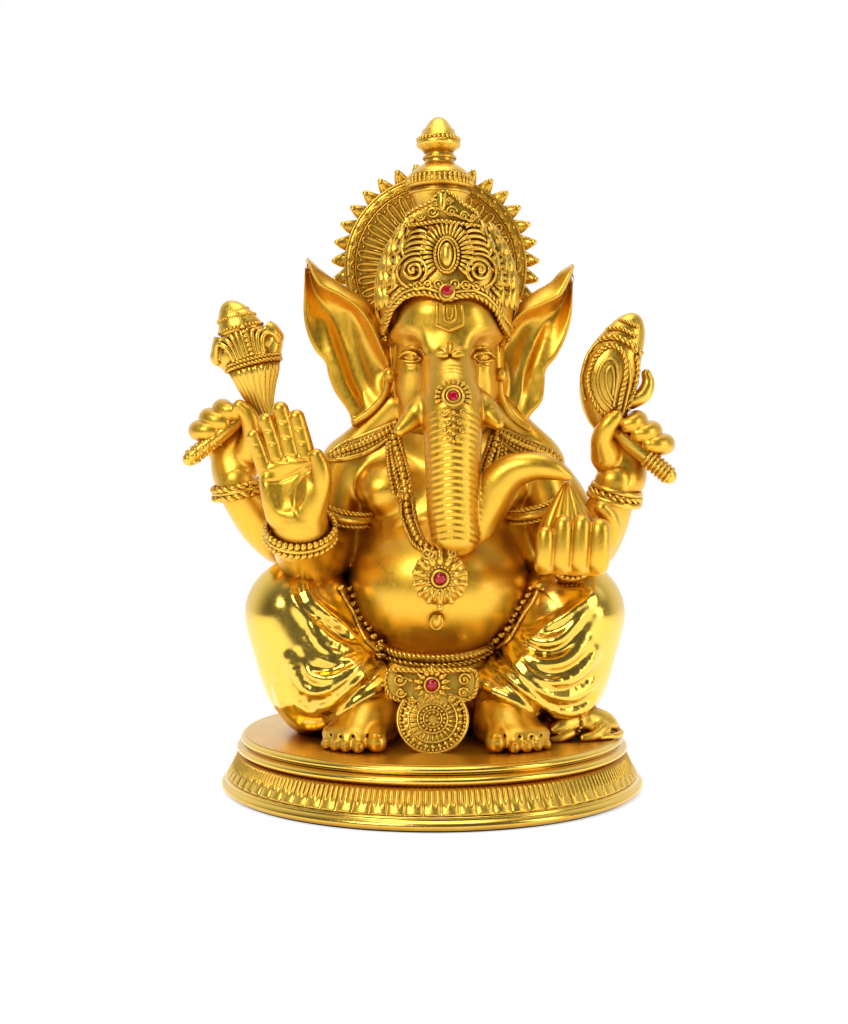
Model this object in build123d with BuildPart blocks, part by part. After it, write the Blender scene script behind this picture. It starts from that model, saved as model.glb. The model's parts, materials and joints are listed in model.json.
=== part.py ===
from build123d import *
import math
import os

os.makedirs("parts", exist_ok=True)

# Millimetres. Up is +Z, the front is -Y and the figure's right side is -X.
# The origin is the middle of the felt's underside.

# Driving dimensions
HEIGHT = 300.0  # floor to the tip of the finial
FLANGE_R = 95.0  # bottom flange of the plinth
TOP_R = 84.0  # flat top of the plinth
PLINTH_TOP = 24.7  # height of the flat top
FELT_T = 1.0
FELT_R = 92.0
FLANGE_T = 3.7
COVER_R = 80.0
COVER_T = 3.0
WALL = 4.0
BOSS_R = 6.0
BOSS_RING = 66.0  # radius of the circle the cover screws stand on
SCREW_R = 1.6
SCREW_HEAD_R = 3.2
SCREW_HEAD_T = 1.8
SCREW_LEN = 12.0
BOLT_R = 2.5
BOLT_HEAD_R = 4.5
BOLT_HEAD_T = 3.0
WASHER_R = 6.5
WASHER_T = 1.2
BOLT_REACH = 18.0  # length of bolt inside the figure
BOLT_AT = [(-16.0, 14.0), (18.0, 14.0)]
STONE_R = 2.35
STONE_T = 2.0
PIN_R = 2.0
BUCKLE_R = 6.2
COLLAR_Y = 10.0  # how far the shoulder ornaments' backs stand before the middle
COLLAR_T = 10.0
LONGER = 1.001  # keeps every ellipse's long side the same way, so lofts don't twist
SPIKES = 34
HALO_R = 42.5
SPIKE_R = 48.0
HALO_T = 5.0
HALO_AT = (1.4, 238.0)  # x and z of the halo's centre
HALO_BACK = 25.0  # y of the halo's back face
EAR_T = 6.0
EAR_FRONT = 0.0  # y of the ear plates' front face
NECK_Z = 161.0
CROWN_Z = 214.0
FINIAL_Z = 262.0
FINIAL_FOOT = (4.0, -2.5, 0.0)  # where the finial's axis meets the floor
UP = (0, 0.05, 1)
ACROSS = (1, 0, 0.05)
INWARD = (0.05, 1, 0)
STANDING = (Align.CENTER, Align.CENTER, Align.MIN)
BELOW = (Align.CENTER, Align.CENTER, Align.MAX)
STONES = {
    "crown": (6.3, -37.4, 217.0),
    "trunk": (8.7, -65.9, 171.0),
    "pendant": (3.4, -55.6, 96.5),
    "buckle": (0.0, -49.0, 51.5),
}


def stack(levels):
    """Loft through level ellipses, each given as z, x, y and the two half widths."""
    sections = []
    for z, x, y, half_x, half_y in levels:
        with BuildSketch(Plane((x, y, z))) as level:
            Ellipse(half_x, half_y)
        sections.append(level.sketch)
    loft(sections)


def limb(side, *stations):
    """A mitred tube through stations, each x, y, z and a radius; side is across its bends."""
    points = [Vector(*station[:3]) for station in stations]
    ways = [(end - start).normalized() for start, end in zip(points, points[1:])]
    sections = []
    for k, station in enumerate(stations):
        before, after = ways[max(k - 1, 0)], ways[min(k, len(ways) - 1)]
        stretch = 1 / math.cos(math.radians(before.get_angle(after) / 2))
        here = Plane(points[k], x_dir=side, z_dir=before + after)
        with BuildSketch(here) as section:
            Ellipse(station[3], station[3] * stretch * LONGER)
        sections.append(section.sketch)
    loft(sections, ruled=True)


def digit(start, end, foot_r, tip_r):
    """A finger, toe or tip: a cone with a round end."""
    way = Vector(*end) - Vector(*start)
    long = way.length
    axis = Plane(Vector(*start), z_dir=way)
    across = Plane(axis.origin, x_dir=axis.x_dir, z_dir=-axis.y_dir)
    with BuildSketch(across) as half:
        with BuildLine():
            Polyline((0, long), (0, 0), (foot_r, 0), (tip_r, long))
            RadiusArc((tip_r, long), (0, long + tip_r), -tip_r)
            Line((0, long + tip_r), (0, long))
        make_face()
    revolve(half.sketch, axis=Axis(axis.origin, way))


def strand(points, radius):
    """A cord of even thickness through the points."""
    limb(UP, *[(*point, radius) for point in points])


def rod(start, end, radius):
    """A straight round pin between two points."""
    way = Vector(*end) - Vector(*start)
    with Locations(Plane(Vector(*start), z_dir=way).location):
        Cylinder(radius, way.length, align=STANDING)


def ball(at, radius):
    with Locations(at):
        Sphere(radius)


def ring(at, axis, ring_r, wire_r):
    """A ring round the given axis."""
    with Locations(Plane(Vector(*at), z_dir=Vector(*axis)).location):
        Torus(ring_r, wire_r)


def rosette(at, radius, thick):
    """A round boss with a raised middle, facing the front."""
    x, y, z = at
    rod((x, y, z), (x, y - thick, z), radius)
    rod((x, y - thick, z), (x, y - thick * 1.4, z), radius * 0.62)


def without(*others):
    """Cut neighbouring parts away, so that every part keeps its own space."""
    for other in others:
        add(other.part, mode=Mode.SUBTRACT)


# ---------------------------------------------------------------- base
RIB = PLINTH_TOP - WALL  # underside of the plinth's top wall
with BuildPart() as cover_screws:
    for k in range(4):
        turn = math.radians(45 + 90 * k)
        x, y = BOSS_RING * math.cos(turn), BOSS_RING * math.sin(turn)
        with Locations((x, y, FELT_T)):
            Cone(SCREW_HEAD_R, SCREW_R, SCREW_HEAD_T, align=STANDING)
        rod((x, y, FELT_T + SCREW_HEAD_T), (x, y, FELT_T + SCREW_LEN), SCREW_R)

with BuildPart() as felt_pad:
    Cylinder(FELT_R, FELT_T, align=STANDING)

with BuildPart() as base_cover:
    with BuildSketch(Plane.XY.offset(FELT_T)):
        Circle(COVER_R)
    extrude(amount=COVER_T)
    without(cover_screws)

with BuildPart() as figure_bolts:
    for x, y in BOLT_AT:
        head_z = RIB - WASHER_T - BOLT_HEAD_T
        rod((x, y, head_z), (x, y, head_z + BOLT_HEAD_T), BOLT_HEAD_R)
        rod((x, y, head_z + BOLT_HEAD_T), (x, y, PLINTH_TOP + BOLT_REACH), BOLT_R)

with BuildPart() as bolt_washers:
    for x, y in BOLT_AT:
        rod((x, y, RIB - WASHER_T), (x, y, RIB), WASHER_R)
    without(figure_bolts)

with BuildPart() as plinth_shell:
    with BuildSketch(Plane.XZ):
        with BuildLine():
            low = FELT_T
            Polyline(
                (0, low + COVER_T), (COVER_R, low + COVER_T), (COVER_R, low),
                (FLANGE_R, low), (FLANGE_R, low + FLANGE_T), (93.6, 5.4),
                (92.6, 6.0), (87.6, 16.0), (86.4, 16.6), (88.1, 17.6),
                (88.1, 19.8), (85.4, 20.7), (86.2, 21.9), (86.0, 23.6),
                (TOP_R, PLINTH_TOP), (0, PLINTH_TOP), (0, low + COVER_T),
            )
        make_face()
    revolve(axis=Axis.Z)
    with BuildSketch(Plane.XY.offset(low + COVER_T)):
        Circle(COVER_R)
        with PolarLocations(BOSS_RING, 4, start_angle=45):
            Circle(BOSS_R, mode=Mode.SUBTRACT)
    extrude(amount=RIB - low - COVER_T, mode=Mode.SUBTRACT)
    without(cover_screws, figure_bolts)

# ---------------------------------------------------------------- pins and stones
# They come first, so that each casting is cut to fit round them.
with BuildPart() as neck_dowel:
    rod((6, -1, NECK_Z - 12), (6, -1, NECK_Z + 12), PIN_R * 1.5)
with BuildPart() as finial_dowel:
    rod((4, -2.5, FINIAL_Z - 9), (4, -2.5, FINIAL_Z + 9), PIN_R)
with BuildPart() as crown_dowel:
    rod((7, -5, CROWN_Z - 9), (7, -5, CROWN_Z + 9), PIN_R)
with BuildPart() as trunk_pin:
    rod((7.3, -26, 190), (7.8, -42, 181), PIN_R)
with BuildPart() as hip_dowels:
    rod((-27, -4, 60), (-45, -6, 60), PIN_R)
    rod((30, -4, 60), (48, -6, 60), PIN_R)
with BuildPart() as shoulder_dowels:
    rod((-28, 0, 138), (-44, 0, 133), PIN_R)
    rod((38, 0, 138), (52, 0, 133), PIN_R)
    rod((-30, 9, 140), (-50, 11.5, 131), PIN_R)
    rod((38, 9, 142), (57, 11.5, 131), PIN_R)
with BuildPart() as ear_pins:
    rod((-10, -6, 186), (-26, -3, 186), PIN_R)
    rod((22, -6, 186), (40, -3, 186), PIN_R)

with BuildPart() as red_stones:
    for x, y, z in STONES.values():
        rod((x, y + STONE_T, z), (x, y, z), STONE_R)

with BuildPart() as halo_screws:
    for z in (228.0, 246.0):
        rod((5, 12, z), (5, HALO_BACK, z), SCREW_R)
        rod((5, HALO_BACK, z), (5, HALO_BACK + 1.6, z), SCREW_HEAD_R)

# ---------------------------------------------------------------- body
with BuildPart() as torso:
    stack([
        (PLINTH_TOP, 1, 4, 34, 32), (40, 1, 1, 38, 36), (56, 1, -2, 40, 38.5),
        (72, 2, -4, 40, 39), (86, 2.5, -8, 40.5, 38.5), (100, 3, -7, 40, 37),
        (114, 3.5, -2, 37.5, 32), (125, 4, 1.5, 38, 27), (136, 4.5, 3, 41, 23),
        (146, 5, 4, 43, 18), (154, 5, 3, 30, 15), (NECK_Z, 5, 2, 17, 13),
    ])
    without(figure_bolts, neck_dowel, hip_dowels, shoulder_dowels)

LEG_LEVELS = [
    (PLINTH_TOP, 40, -10, 17, 20), (35, 42, -12, 22, 24), (46, 44, -12, 26, 27),
    (60, 50, -12, 29, 28), (74, 54, -11, 28.5, 28), (86, 60, -9, 23.5, 24),
    (95, 66, -7, 16, 16), (100, 70, -6, 7, 8),
]
with BuildPart() as right_leg:
    stack([(z, -x, y, a, b) for z, x, y, a, b in LEG_LEVELS])
    without(torso, hip_dowels)

with BuildPart() as left_leg:
    stack([(z, x + 2.5, y, a, b) for z, x, y, a, b in LEG_LEVELS])
    without(torso, hip_dowels)


def foot(side):
    """A bare foot: ankle, instep and five toes, standing on the plinth."""
    stack([
        (PLINTH_TOP, 31 * side, -41, 12.5, 13), (29, 31 * side, -40.5, 12, 12.5),
        (35, 28.5 * side, -36, 10.5, 11), (42, 26 * side, -31, 9.5, 9.6),
        (50, 25 * side, -25, 9.3, 9.4),
    ])
    for k in range(5):
        x = (22.5 + 5.3 * k) * side
        y = -57.5 + 0.85 * k * k
        size = 3.9 if k == 0 else 3.0 - 0.12 * k
        digit((x, y + 11, PLINTH_TOP + 3.9), (x, y, PLINTH_TOP + 3.9), size, size - 0.3)


with BuildPart() as right_foot:
    foot(-1)
    without(torso, right_leg)

with BuildPart() as left_foot:
    foot(1)
    without(torso, left_leg)

with BuildPart() as mouse_collar:
    ring((60.5, -27, 32), (1, -0.1, 0.25), 4.6, 1.2)
    without(left_leg)

with BuildPart() as mouse:
    # crouching on the plinth, its nose towards the feet
    limb(UP, (52, -30, 31, 2.6), (57, -29, 31.5, 4.4), (64, -27, 31.0, 4.8), (72, -25, 31.0, 6.0),
         (79, -22, 29, 3.0))
    digit((78, -22, 28.5), (83, -12, 27), 1.8, 1.2)
    ball((58.5, -31.5, 36), 2.2)
    ball((59.5, -24.5, 36), 2.2)
    with Locations((0, 0, PLINTH_TOP)):
        Box(2 * FLANGE_R, 2 * FLANGE_R, PLINTH_TOP, align=BELOW, mode=Mode.SUBTRACT)
    without(left_leg, left_foot, mouse_collar)

with BuildPart() as waist_cord:
    strand([(-38, -16, 93), (-34, -29, 83), (-24, -39, 70), (-12, -44, 63.5), (0, -45, 61.5),
            (13, -44, 63.5), (26, -39, 70), (38, -29, 83), (42, -16, 93)], 3.4)
    without(torso, right_leg, left_leg)

with BuildPart() as belt_apron:
    with BuildSketch(Plane.XZ.offset(34)):
        with Locations((-0.5, 49.8)):
            RectangleRounded(36, 15.5, 4)
    extrude(amount=11)
    without(torso, right_leg, left_leg, right_foot, left_foot)

with BuildPart() as hem_medallion:
    with BuildSketch(Plane((0, -43, 45), x_dir=(1, 0, 0), z_dir=(0, -1, 0.42))):
        with Locations((0, -8)):
            RectangleRounded(29, 34, 13)
    extrude(amount=-3.5)
    with BuildSketch(Plane.XY.offset(low)):
        Rectangle(HEIGHT, HEIGHT)
    extrude(amount=PLINTH_TOP - low, mode=Mode.SUBTRACT)
    without(torso, belt_apron, right_foot, left_foot, right_leg, left_leg)

with BuildPart() as buckle:
    rosette((0, -45, 51.5), BUCKLE_R, 2.5)
    without(red_stones)

with BuildPart() as navel_drop:
    ball((2, -44.5, 77.5), 3.6)
    without(torso)

with BuildPart() as necklace:
    strand([(-17, -21, 140), (-15, -29, 128), (-11, -36, 116), (-4, -43.5, 106),
            (3.4, -46, 102.5), (11, -43.5, 106), (18, -36, 116), (22, -29, 128),
            (26, -21, 140)], 4.0)
    without(torso)

with BuildPart() as pendant:
    rosette((3.4, -50.2, 96.5), 11.5, 3.5)
    rod((3.4, -40, 92.5), (3.4, -51, 92.5), 5)
    without(torso, red_stones)

with BuildPart() as neck_strands:
    strand([(-14, -14, 157), (-13, -23, 148), (-11, -27, 138), (-9, -30, 131)], 3.0)
    strand([(26, -14, 157), (25, -23, 148), (23, -27, 138), (21, -30, 131)], 3.0)
    without(torso, necklace)

# ---------------------------------------------------------------- arms
with BuildPart() as right_front_arm:
    limb(UP, (-38, 0, 143, 13), (-48, -3, 108, 11.8), (-56, -37, 115, 8.8))
    without(torso, right_leg, shoulder_dowels)

with BuildPart() as left_front_arm:
    limb(UP, (47, 0, 143, 13), (58, -4, 109, 11.4), (60, -33, 105, 8.2))
    without(torso, left_leg, shoulder_dowels)

with BuildPart() as right_rear_arm:
    limb(INWARD, (-36, 10, 146, 13), (-72, 8, 110, 11.8), (-87, -8, 134, 8.2))
    without(torso, right_leg, right_front_arm, shoulder_dowels)

with BuildPart() as left_rear_arm:
    limb(INWARD, (46, 10, 146, 13), (74, 8, 109, 11.8), (82, -8, 133, 8.2))
    without(torso, left_leg, left_front_arm, shoulder_dowels)

def palm(middle, facing, width, length, thick):
    """A rounded slab for a palm, its length along the plane's Y."""
    with BuildSketch(Plane(middle, x_dir=(1, 0, 0), z_dir=facing)) as outline:
        RectangleRounded(width, length, min(width, length) * 0.35)
    extrude(outline.sketch, amount=thick / 2, both=True)


with BuildPart() as right_front_hand:
    # open palm facing the front, four fingers up and the thumb inside
    limb(ACROSS, (-56, -37, 115, 8.8), (-56.5, -41, 124, 9.6), (-57, -43, 131, 8))
    palm((-58, -42.5, 133), (0.1, -1, 0.15), 25, 29, 10)
    for foot_x, foot_z, tip_x, tip_z, size in [
        (-51.5, 142, -57.0, 164.0, 3.6), (-58.0, 143, -63.8, 167.0, 3.7),
        (-63.5, 142, -69.8, 162.8, 3.6), (-68.0, 139, -75.2, 156.0, 3.3),
    ]:
        digit((foot_x, -43.5, foot_z), (tip_x, -44, tip_z), size, size - 0.5)
    digit((-48, -44, 125), (-46.0, -48, 137), 5.2, 4.0)
    digit((-46.0, -47.8, 136), (-47.5, -49, 145), 4.3, 3.3)
    without(right_front_arm)

with BuildPart() as left_front_hand:
    # palm up, four fingers curled up in front of the sweet
    limb(UP, (60, -33, 105, 8.2), (59.5, -42, 104, 7.5), (59, -46, 104, 6.5))
    palm((59, -49, 104), (0, 0, 1), 29, 20, 9)
    for x, top, size in [(46.5, 117.5, 3.5), (53.3, 124.0, 3.7), (60.3, 124.0, 3.7),
                         (67.5, 122.0, 4.0)]:
        digit((x, -57, 103), (x, -56, top), size, size - 0.4)
    digit((70, -42, 106), (74.5, -46, 117), 5.0, 4.4)
    digit((74.4, -46, 116), (71, -48, 126), 4.5, 3.4)
    without(left_front_arm, left_leg)


def fist(x, y, z, side):
    """A closed hand, four fingers across the front and the thumb over them."""
    digit((x + side * 2, y + 1, z - 14), (x, y, z), 9.6, 11.0)
    for k in range(4):
        low = z + 7.5 - 4.6 * k
        digit((x - side * 9, y - 5, low - 1), (x + side * 3, y - 9, low), 3.7, 3.4)
    digit((x + side * 9, y - 4, z - 9), (x + side * 7.5, y - 9.5, z + 5), 4.6, 3.4)


with BuildPart() as right_rear_emblem:
    # slanting handle, then a flared head with a conical cap
    limb(INWARD, (-107, -16, 147, 3.6), (-92, -12.5, 160, 4.6), (-79, -9, 172, 6.5),
         (-81, -8, 190, 11.5), (-84, -7, 200, 13.0), (-86, -6.5, 207, 7.0), (-88, -6, 216, 2.0))

with BuildPart() as left_rear_emblem:
    # slanting handle, then a leaf-shaped head
    limb(INWARD, (105, -16, 138.5, 3.6), (92, -12.5, 152.5, 4.4), (79.5, -9, 166, 6.5),
         (78, -8, 179, 10.2), (81.5, -7, 192, 10.8), (87.5, -6, 209, 2.0))

with BuildPart() as right_rear_hand:
    limb(INWARD, (-87, -8, 134, 8.2), (-89.5, -9, 146, 10.0))
    fist(-91, -10, 157, 1)
    without(right_rear_arm, right_rear_emblem, right_front_hand)

with BuildPart() as left_rear_hand:
    limb(INWARD, (82, -8, 133, 8.2), (86, -9, 145, 10.0))
    fist(90, -10, 156, -1)
    without(left_rear_arm, left_rear_emblem)

with BuildPart() as right_front_bangle:
    ring((-56, -38.5, 117), (0, -0.35, 1), 12.6, 2.6)
    without(right_front_arm, right_front_hand)

with BuildPart() as left_front_bangle:
    ring((60, -34, 106), (0, -1, 0.1), 9.6, 2.2)
    without(left_front_arm, left_front_hand, left_leg)

with BuildPart() as right_rear_bangle:
    ring((-86.8, -7.4, 132), (-0.15, -0.3, 1), 10.2, 2.2)
    without(right_rear_arm, right_rear_hand, right_front_hand, right_front_bangle)

with BuildPart() as left_rear_bangle:
    ring((82, -7.4, 131), (0.2, -0.3, 1), 10.2, 2.2)
    without(left_rear_arm, left_rear_hand, left_front_hand)

with BuildPart() as armlets:
    ring((-43.5, -1.5, 125), (0.27, 0, 1), 12.8, 2.2)
    ring((52.5, -2, 125), (-0.3, 0, 1), 12.8, 2.2)
    without(torso, right_front_arm, left_front_arm, right_rear_arm, left_rear_arm)

with BuildPart() as modak:
    stack([(107, 58, -47, 6, 6), (112, 58, -47, 9.5, 8.5), (119, 57.5, -47, 9.5, 8.5),
           (128, 56, -47.5, 6, 5.5), (135.5, 54.5, -48, 1.2, 1.2)])
    without(left_front_hand, left_front_arm, left_front_bangle)

# ---------------------------------------------------------------- head
with BuildPart() as head:
    stack([
        (NECK_Z, 6, -4, 17, 16), (168, 7, -9, 21, 22), (178, 7, -12, 23.5, 25),
        (190, 7, -13, 24, 25), (202, 7, -11, 24.5, 26), (CROWN_Z, 7, -8, 25, 28),
    ])
    without(torso, neck_dowel, crown_dowel, trunk_pin, ear_pins)

with BuildPart() as trunk:
    # the fall, down in front of the chest
    limb(ACROSS, (7, -24, 193, 14.5), (7.8, -41, 183, 14), (8.5, -50, 170, 13),
         (9, -55, 152, 12), (9, -57, 131, 11), (10, -55, 116, 10), (11, -53, 109.5, 6))
    # the curl, up and across to the sweet
    limb(INWARD, (12, -50, 112, 8), (20, -48, 117, 8.4), (27, -47, 131, 7.4),
         (37, -48, 140, 6.4), (47, -49, 141, 5.0), (55, -50, 138.5, 2.2))
    without(head, torso, necklace, pendant, neck_strands, modak, trunk_pin)

EAR_LINE = [(23, 204), (38, 214), (56, 237.5), (59.5, 226), (57, 208), (51, 196), (47, 184),
            (41, 170), (33, 163), (23, 166)]


def ear(shift, side):
    """A thin ear plate with a thick root."""
    rim = [(side * (x + shift), z) for x, z in EAR_LINE]
    with BuildSketch(Plane.XZ.offset(-EAR_FRONT - EAR_T)) as plate:
        with BuildLine():
            Spline(*rim)
            Line(rim[-1], rim[0])
        make_face()
    extrude(plate.sketch, amount=EAR_T)
    digit((side * (17 + shift), -5, 186), (side * (31 + shift), 1, 186), 14, 9)


with BuildPart() as right_ear:
    ear(0, -1)
    without(head, torso, right_rear_arm, right_front_arm, ear_pins)

with BuildPart() as left_ear:
    ear(6, 1)
    without(head, torso, left_rear_arm, left_front_arm, ear_pins)

with BuildPart() as right_collar:
    with BuildSketch(Plane.XZ.offset(COLLAR_Y)):
        with BuildLine():
            Spline(*[(-47, 146), (-40, 154), (-30, 157), (-18, 164), (-15, 158), (-24, 148), (-38, 143)], periodic=True)
        make_face()
    extrude(amount=COLLAR_T)
    without(torso, head, right_front_arm, right_rear_arm, right_ear, neck_strands)

with BuildPart() as left_collar:
    with BuildSketch(Plane.XZ.offset(COLLAR_Y)):
        with BuildLine():
            Spline(*[(58, 145), (51, 153), (41, 156), (29, 163), (26, 157), (35, 147), (49, 142)], periodic=True)
        make_face()
    extrude(amount=COLLAR_T)
    without(torso, head, left_front_arm, left_rear_arm, left_ear, neck_strands, trunk)

with BuildPart() as right_tusk:
    digit((-4, -38, 167), (-12.5, -48.5, 159.5), 4.6, 1.6)
    without(head, trunk)

with BuildPart() as left_tusk:
    digit((20, -38, 167), (27.5, -48.5, 161), 4.6, 1.6)
    without(head, trunk)

with BuildPart() as ear_studs:
    ball((-19.5, -14, 184), 4.2)
    ball((32.5, -14, 184), 4.2)
    without(head, right_ear, left_ear)

with BuildPart() as trunk_ornament:
    rosette((8.7, -61.2, 171), 7.5, 3.0)
    rod((8.7, -54, 171), (8.7, -61.2, 171), 6)
    with BuildSketch(Plane.XZ.offset(60)):
        with Locations((8.7, 158)):
            RectangleRounded(9, 18, 4)
    extrude(amount=9.5)
    without(trunk, head, red_stones)

with BuildPart() as crown:
    stack([
        (CROWN_Z, 7, -7, 30, 29), (222, 7, -6, 32, 30), (234, 6.5, -5, 30, 28),
        (244, 5.5, -4, 25.5, 24), (252, 4.5, -3, 19, 18), (FINIAL_Z, 4, -2.5, 13.5, 13.5),
    ])
    without(right_ear, left_ear, crown_dowel, finial_dowel, halo_screws, red_stones)

with BuildPart() as crown_plaque:
    with BuildSketch(Plane((6, -38, 219), x_dir=(1, 0, 0), z_dir=(0, -1, 0.28))):
        with BuildLine():
            Polyline((-14, 0), (14, 0), (20, 12), (17, 26), (8, 33), (-1.5, 42),
                     (-9, 33), (-18, 26), (-20, 12), (-14, 0))
        make_face()
    extrude(amount=-9)
    without(crown, head, red_stones)

FINIAL_PROFILE = [
    (12.5, FINIAL_Z), (13.5, 265), (14.8, 268), (14.8, 272.5), (11, 275), (7.5, 277),
    (5.5, 280), (7.5, 281.5), (5.2, 284), (8.8, 286), (10, 288.5), (8, 291.5),
    (6.5, 294), (4.5, 296.5), (3, HEIGHT),
]
with BuildPart() as crown_finial:
    with BuildSketch(Plane(FINIAL_FOOT, x_dir=(1, 0, 0), z_dir=(0, -1, 0))):
        with BuildLine():
            Polyline((0, FINIAL_Z), *FINIAL_PROFILE, (0, HEIGHT), (0, FINIAL_Z))
        make_face()
    revolve(axis=Axis(FINIAL_FOOT, (0, 0, 1)))
    without(finial_dowel)

with BuildPart() as halo:
    corners = []
    for k in range(SPIKES):
        step = 2 * math.pi / SPIKES
        for reach, turn in ((HALO_R, k * step), (SPIKE_R, (k + 0.5) * step)):
            corners.append((HALO_AT[0] + reach * math.sin(turn),
                            HALO_AT[1] + reach * math.cos(turn)))
    with BuildSketch(Plane.XZ.offset(-HALO_BACK)):
        with BuildLine():
            Polyline(*corners, corners[0])
        make_face()
    extrude(amount=HALO_T)
    without(crown, crown_finial, head, right_ear, left_ear, torso, halo_screws)

NODES = {
    "cover_screws": cover_screws, "felt_pad": felt_pad, "base_cover": base_cover,
    "figure_bolts": figure_bolts, "bolt_washers": bolt_washers,
    "plinth_shell": plinth_shell, "torso": torso, "right_leg": right_leg,
    "left_leg": left_leg, "right_foot": right_foot, "left_foot": left_foot,
    "hip_dowels": hip_dowels, "waist_cord": waist_cord, "belt_apron": belt_apron,
    "hem_medallion": hem_medallion, "buckle": buckle, "navel_drop": navel_drop,
    "necklace": necklace, "pendant": pendant, "neck_strands": neck_strands,
    "mouse": mouse, "mouse_collar": mouse_collar,
    "right_front_arm": right_front_arm, "left_front_arm": left_front_arm,
    "right_rear_arm": right_rear_arm, "left_rear_arm": left_rear_arm,
    "shoulder_dowels": shoulder_dowels, "armlets": armlets,
    "right_front_hand": right_front_hand, "left_front_hand": left_front_hand,
    "right_rear_hand": right_rear_hand, "left_rear_hand": left_rear_hand,
    "right_front_bangle": right_front_bangle, "left_front_bangle": left_front_bangle,
    "right_rear_bangle": right_rear_bangle, "left_rear_bangle": left_rear_bangle,
    "right_rear_emblem": right_rear_emblem, "left_rear_emblem": left_rear_emblem,
    "modak": modak, "neck_dowel": neck_dowel, "head": head, "trunk": trunk,
    "trunk_pin": trunk_pin, "trunk_ornament": trunk_ornament, "right_ear": right_ear,
    "left_ear": left_ear, "ear_pins": ear_pins, "ear_studs": ear_studs,
    "right_tusk": right_tusk, "left_tusk": left_tusk, "right_collar": right_collar,
    "left_collar": left_collar, "crown": crown, "crown_dowel": crown_dowel,
    "crown_plaque": crown_plaque, "crown_finial": crown_finial,
    "finial_dowel": finial_dowel, "halo": halo, "halo_screws": halo_screws,
    "red_stones": red_stones,
}
for name, piece in NODES.items():
    piece.part.label = name
    export_step(piece.part, f"parts/{name}.step")
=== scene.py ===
import json
import math

import bpy
import numpy as np
from mathutils import Euler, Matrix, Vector


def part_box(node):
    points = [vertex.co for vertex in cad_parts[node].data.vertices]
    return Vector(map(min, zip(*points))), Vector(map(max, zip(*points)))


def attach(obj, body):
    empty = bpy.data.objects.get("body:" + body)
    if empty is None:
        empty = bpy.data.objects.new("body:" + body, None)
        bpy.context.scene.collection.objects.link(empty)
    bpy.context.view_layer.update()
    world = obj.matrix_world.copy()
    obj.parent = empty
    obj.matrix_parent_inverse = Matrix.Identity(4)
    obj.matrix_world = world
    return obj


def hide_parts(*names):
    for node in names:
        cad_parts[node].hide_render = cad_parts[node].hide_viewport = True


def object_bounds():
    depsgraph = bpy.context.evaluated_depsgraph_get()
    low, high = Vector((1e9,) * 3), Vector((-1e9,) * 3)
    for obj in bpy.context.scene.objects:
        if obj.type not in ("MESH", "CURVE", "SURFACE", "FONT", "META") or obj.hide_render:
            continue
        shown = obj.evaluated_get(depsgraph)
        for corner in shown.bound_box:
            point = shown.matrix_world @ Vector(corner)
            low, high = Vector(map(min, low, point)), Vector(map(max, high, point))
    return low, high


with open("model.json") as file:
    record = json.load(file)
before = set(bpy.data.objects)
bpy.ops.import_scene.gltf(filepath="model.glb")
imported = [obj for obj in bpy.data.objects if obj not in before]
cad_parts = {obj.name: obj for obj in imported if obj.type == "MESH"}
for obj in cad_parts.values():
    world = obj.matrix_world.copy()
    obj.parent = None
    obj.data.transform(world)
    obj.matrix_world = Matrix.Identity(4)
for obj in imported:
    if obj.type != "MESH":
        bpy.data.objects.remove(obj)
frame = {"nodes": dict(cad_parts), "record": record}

# Lengths are millimetres until a mesh is written, then metres. Up is +Z and the front is -Y.
# The figure's right side is -X, which is the left side of the picture.
CAD_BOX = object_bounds()
MM = 0.001
HEIGHT = CAD_BOX[1][2] / MM
DECK_RISE = 23.7  # from the top of the felt to the top of the plinth
PLINTH_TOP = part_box("felt_pad")[1][2] / MM + DECK_RISE
FAR = 9.0  # distance held where a block of clay is empty
MARGIN = 4  # how far past a shape its distances are still worked out
FINE = 1.0  # voxel multiplier


# ---------------------------------------------------------------- lines and faces
def smooth_line(stations, steps=6):
    """A Catmull-Rom line through stations of any width, such as x, y, z, radius."""
    p = np.array(stations, float)
    p = np.vstack([2 * p[0] - p[1], p, 2 * p[-1] - p[-2]])
    out = []
    for a, b, c, d in zip(p, p[1:], p[2:], p[3:]):
        for t in np.arange(steps) / steps:
            out.append(0.5 * (2 * b + (c - a) * t + (2 * a - 5 * b + 4 * c - d) * t**2
                              + (3 * b - a - 3 * c + d) * t**3))
    out.append(p[-2])
    return np.array(out)


def spaced(points, gap):
    """Evenly spaced points along a line."""
    p = np.array(points, float)[:, :3]
    length = np.r_[0, np.cumsum(np.linalg.norm(np.diff(p, axis=0), axis=1))]
    count = max(2, int(length[-1] / gap) + 1)
    where = np.linspace(0, length[-1], count)
    return np.stack([np.interp(where, length, p[:, k]) for k in range(3)], 1)


def around(count):
    """Angles evenly round a full turn."""
    return [2 * math.pi * k / count for k in range(count)]


def quads(rows, cols, closed=True, looped=False, first=0, flip=False):
    """Four-sided faces between rows of points that follow each other in one list."""
    faces = []
    for row in range(rows if looped else rows - 1):
        low, high = first + row * cols, first + (row + 1) % rows * cols
        for col in range(cols if closed else cols - 1):
            after = (col + 1) % cols
            face = (low + col, low + after, high + after, high + col)
            faces.append((face[0], face[3], face[2], face[1]) if flip else face)
    return faces


def fan_and_quads(rows, cols):
    """Faces from a single point 0 to the first row, then down the rows."""
    return ([(0, 1 + col, 1 + (col + 1) % cols) for col in range(cols)]
            + quads(rows, cols, first=1, flip=True))


def end_faces(rows, cols):
    """Flat ends that close a tube of rows."""
    return [tuple(range(cols))[::-1], tuple((rows - 1) * cols + col for col in range(cols))]


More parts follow.
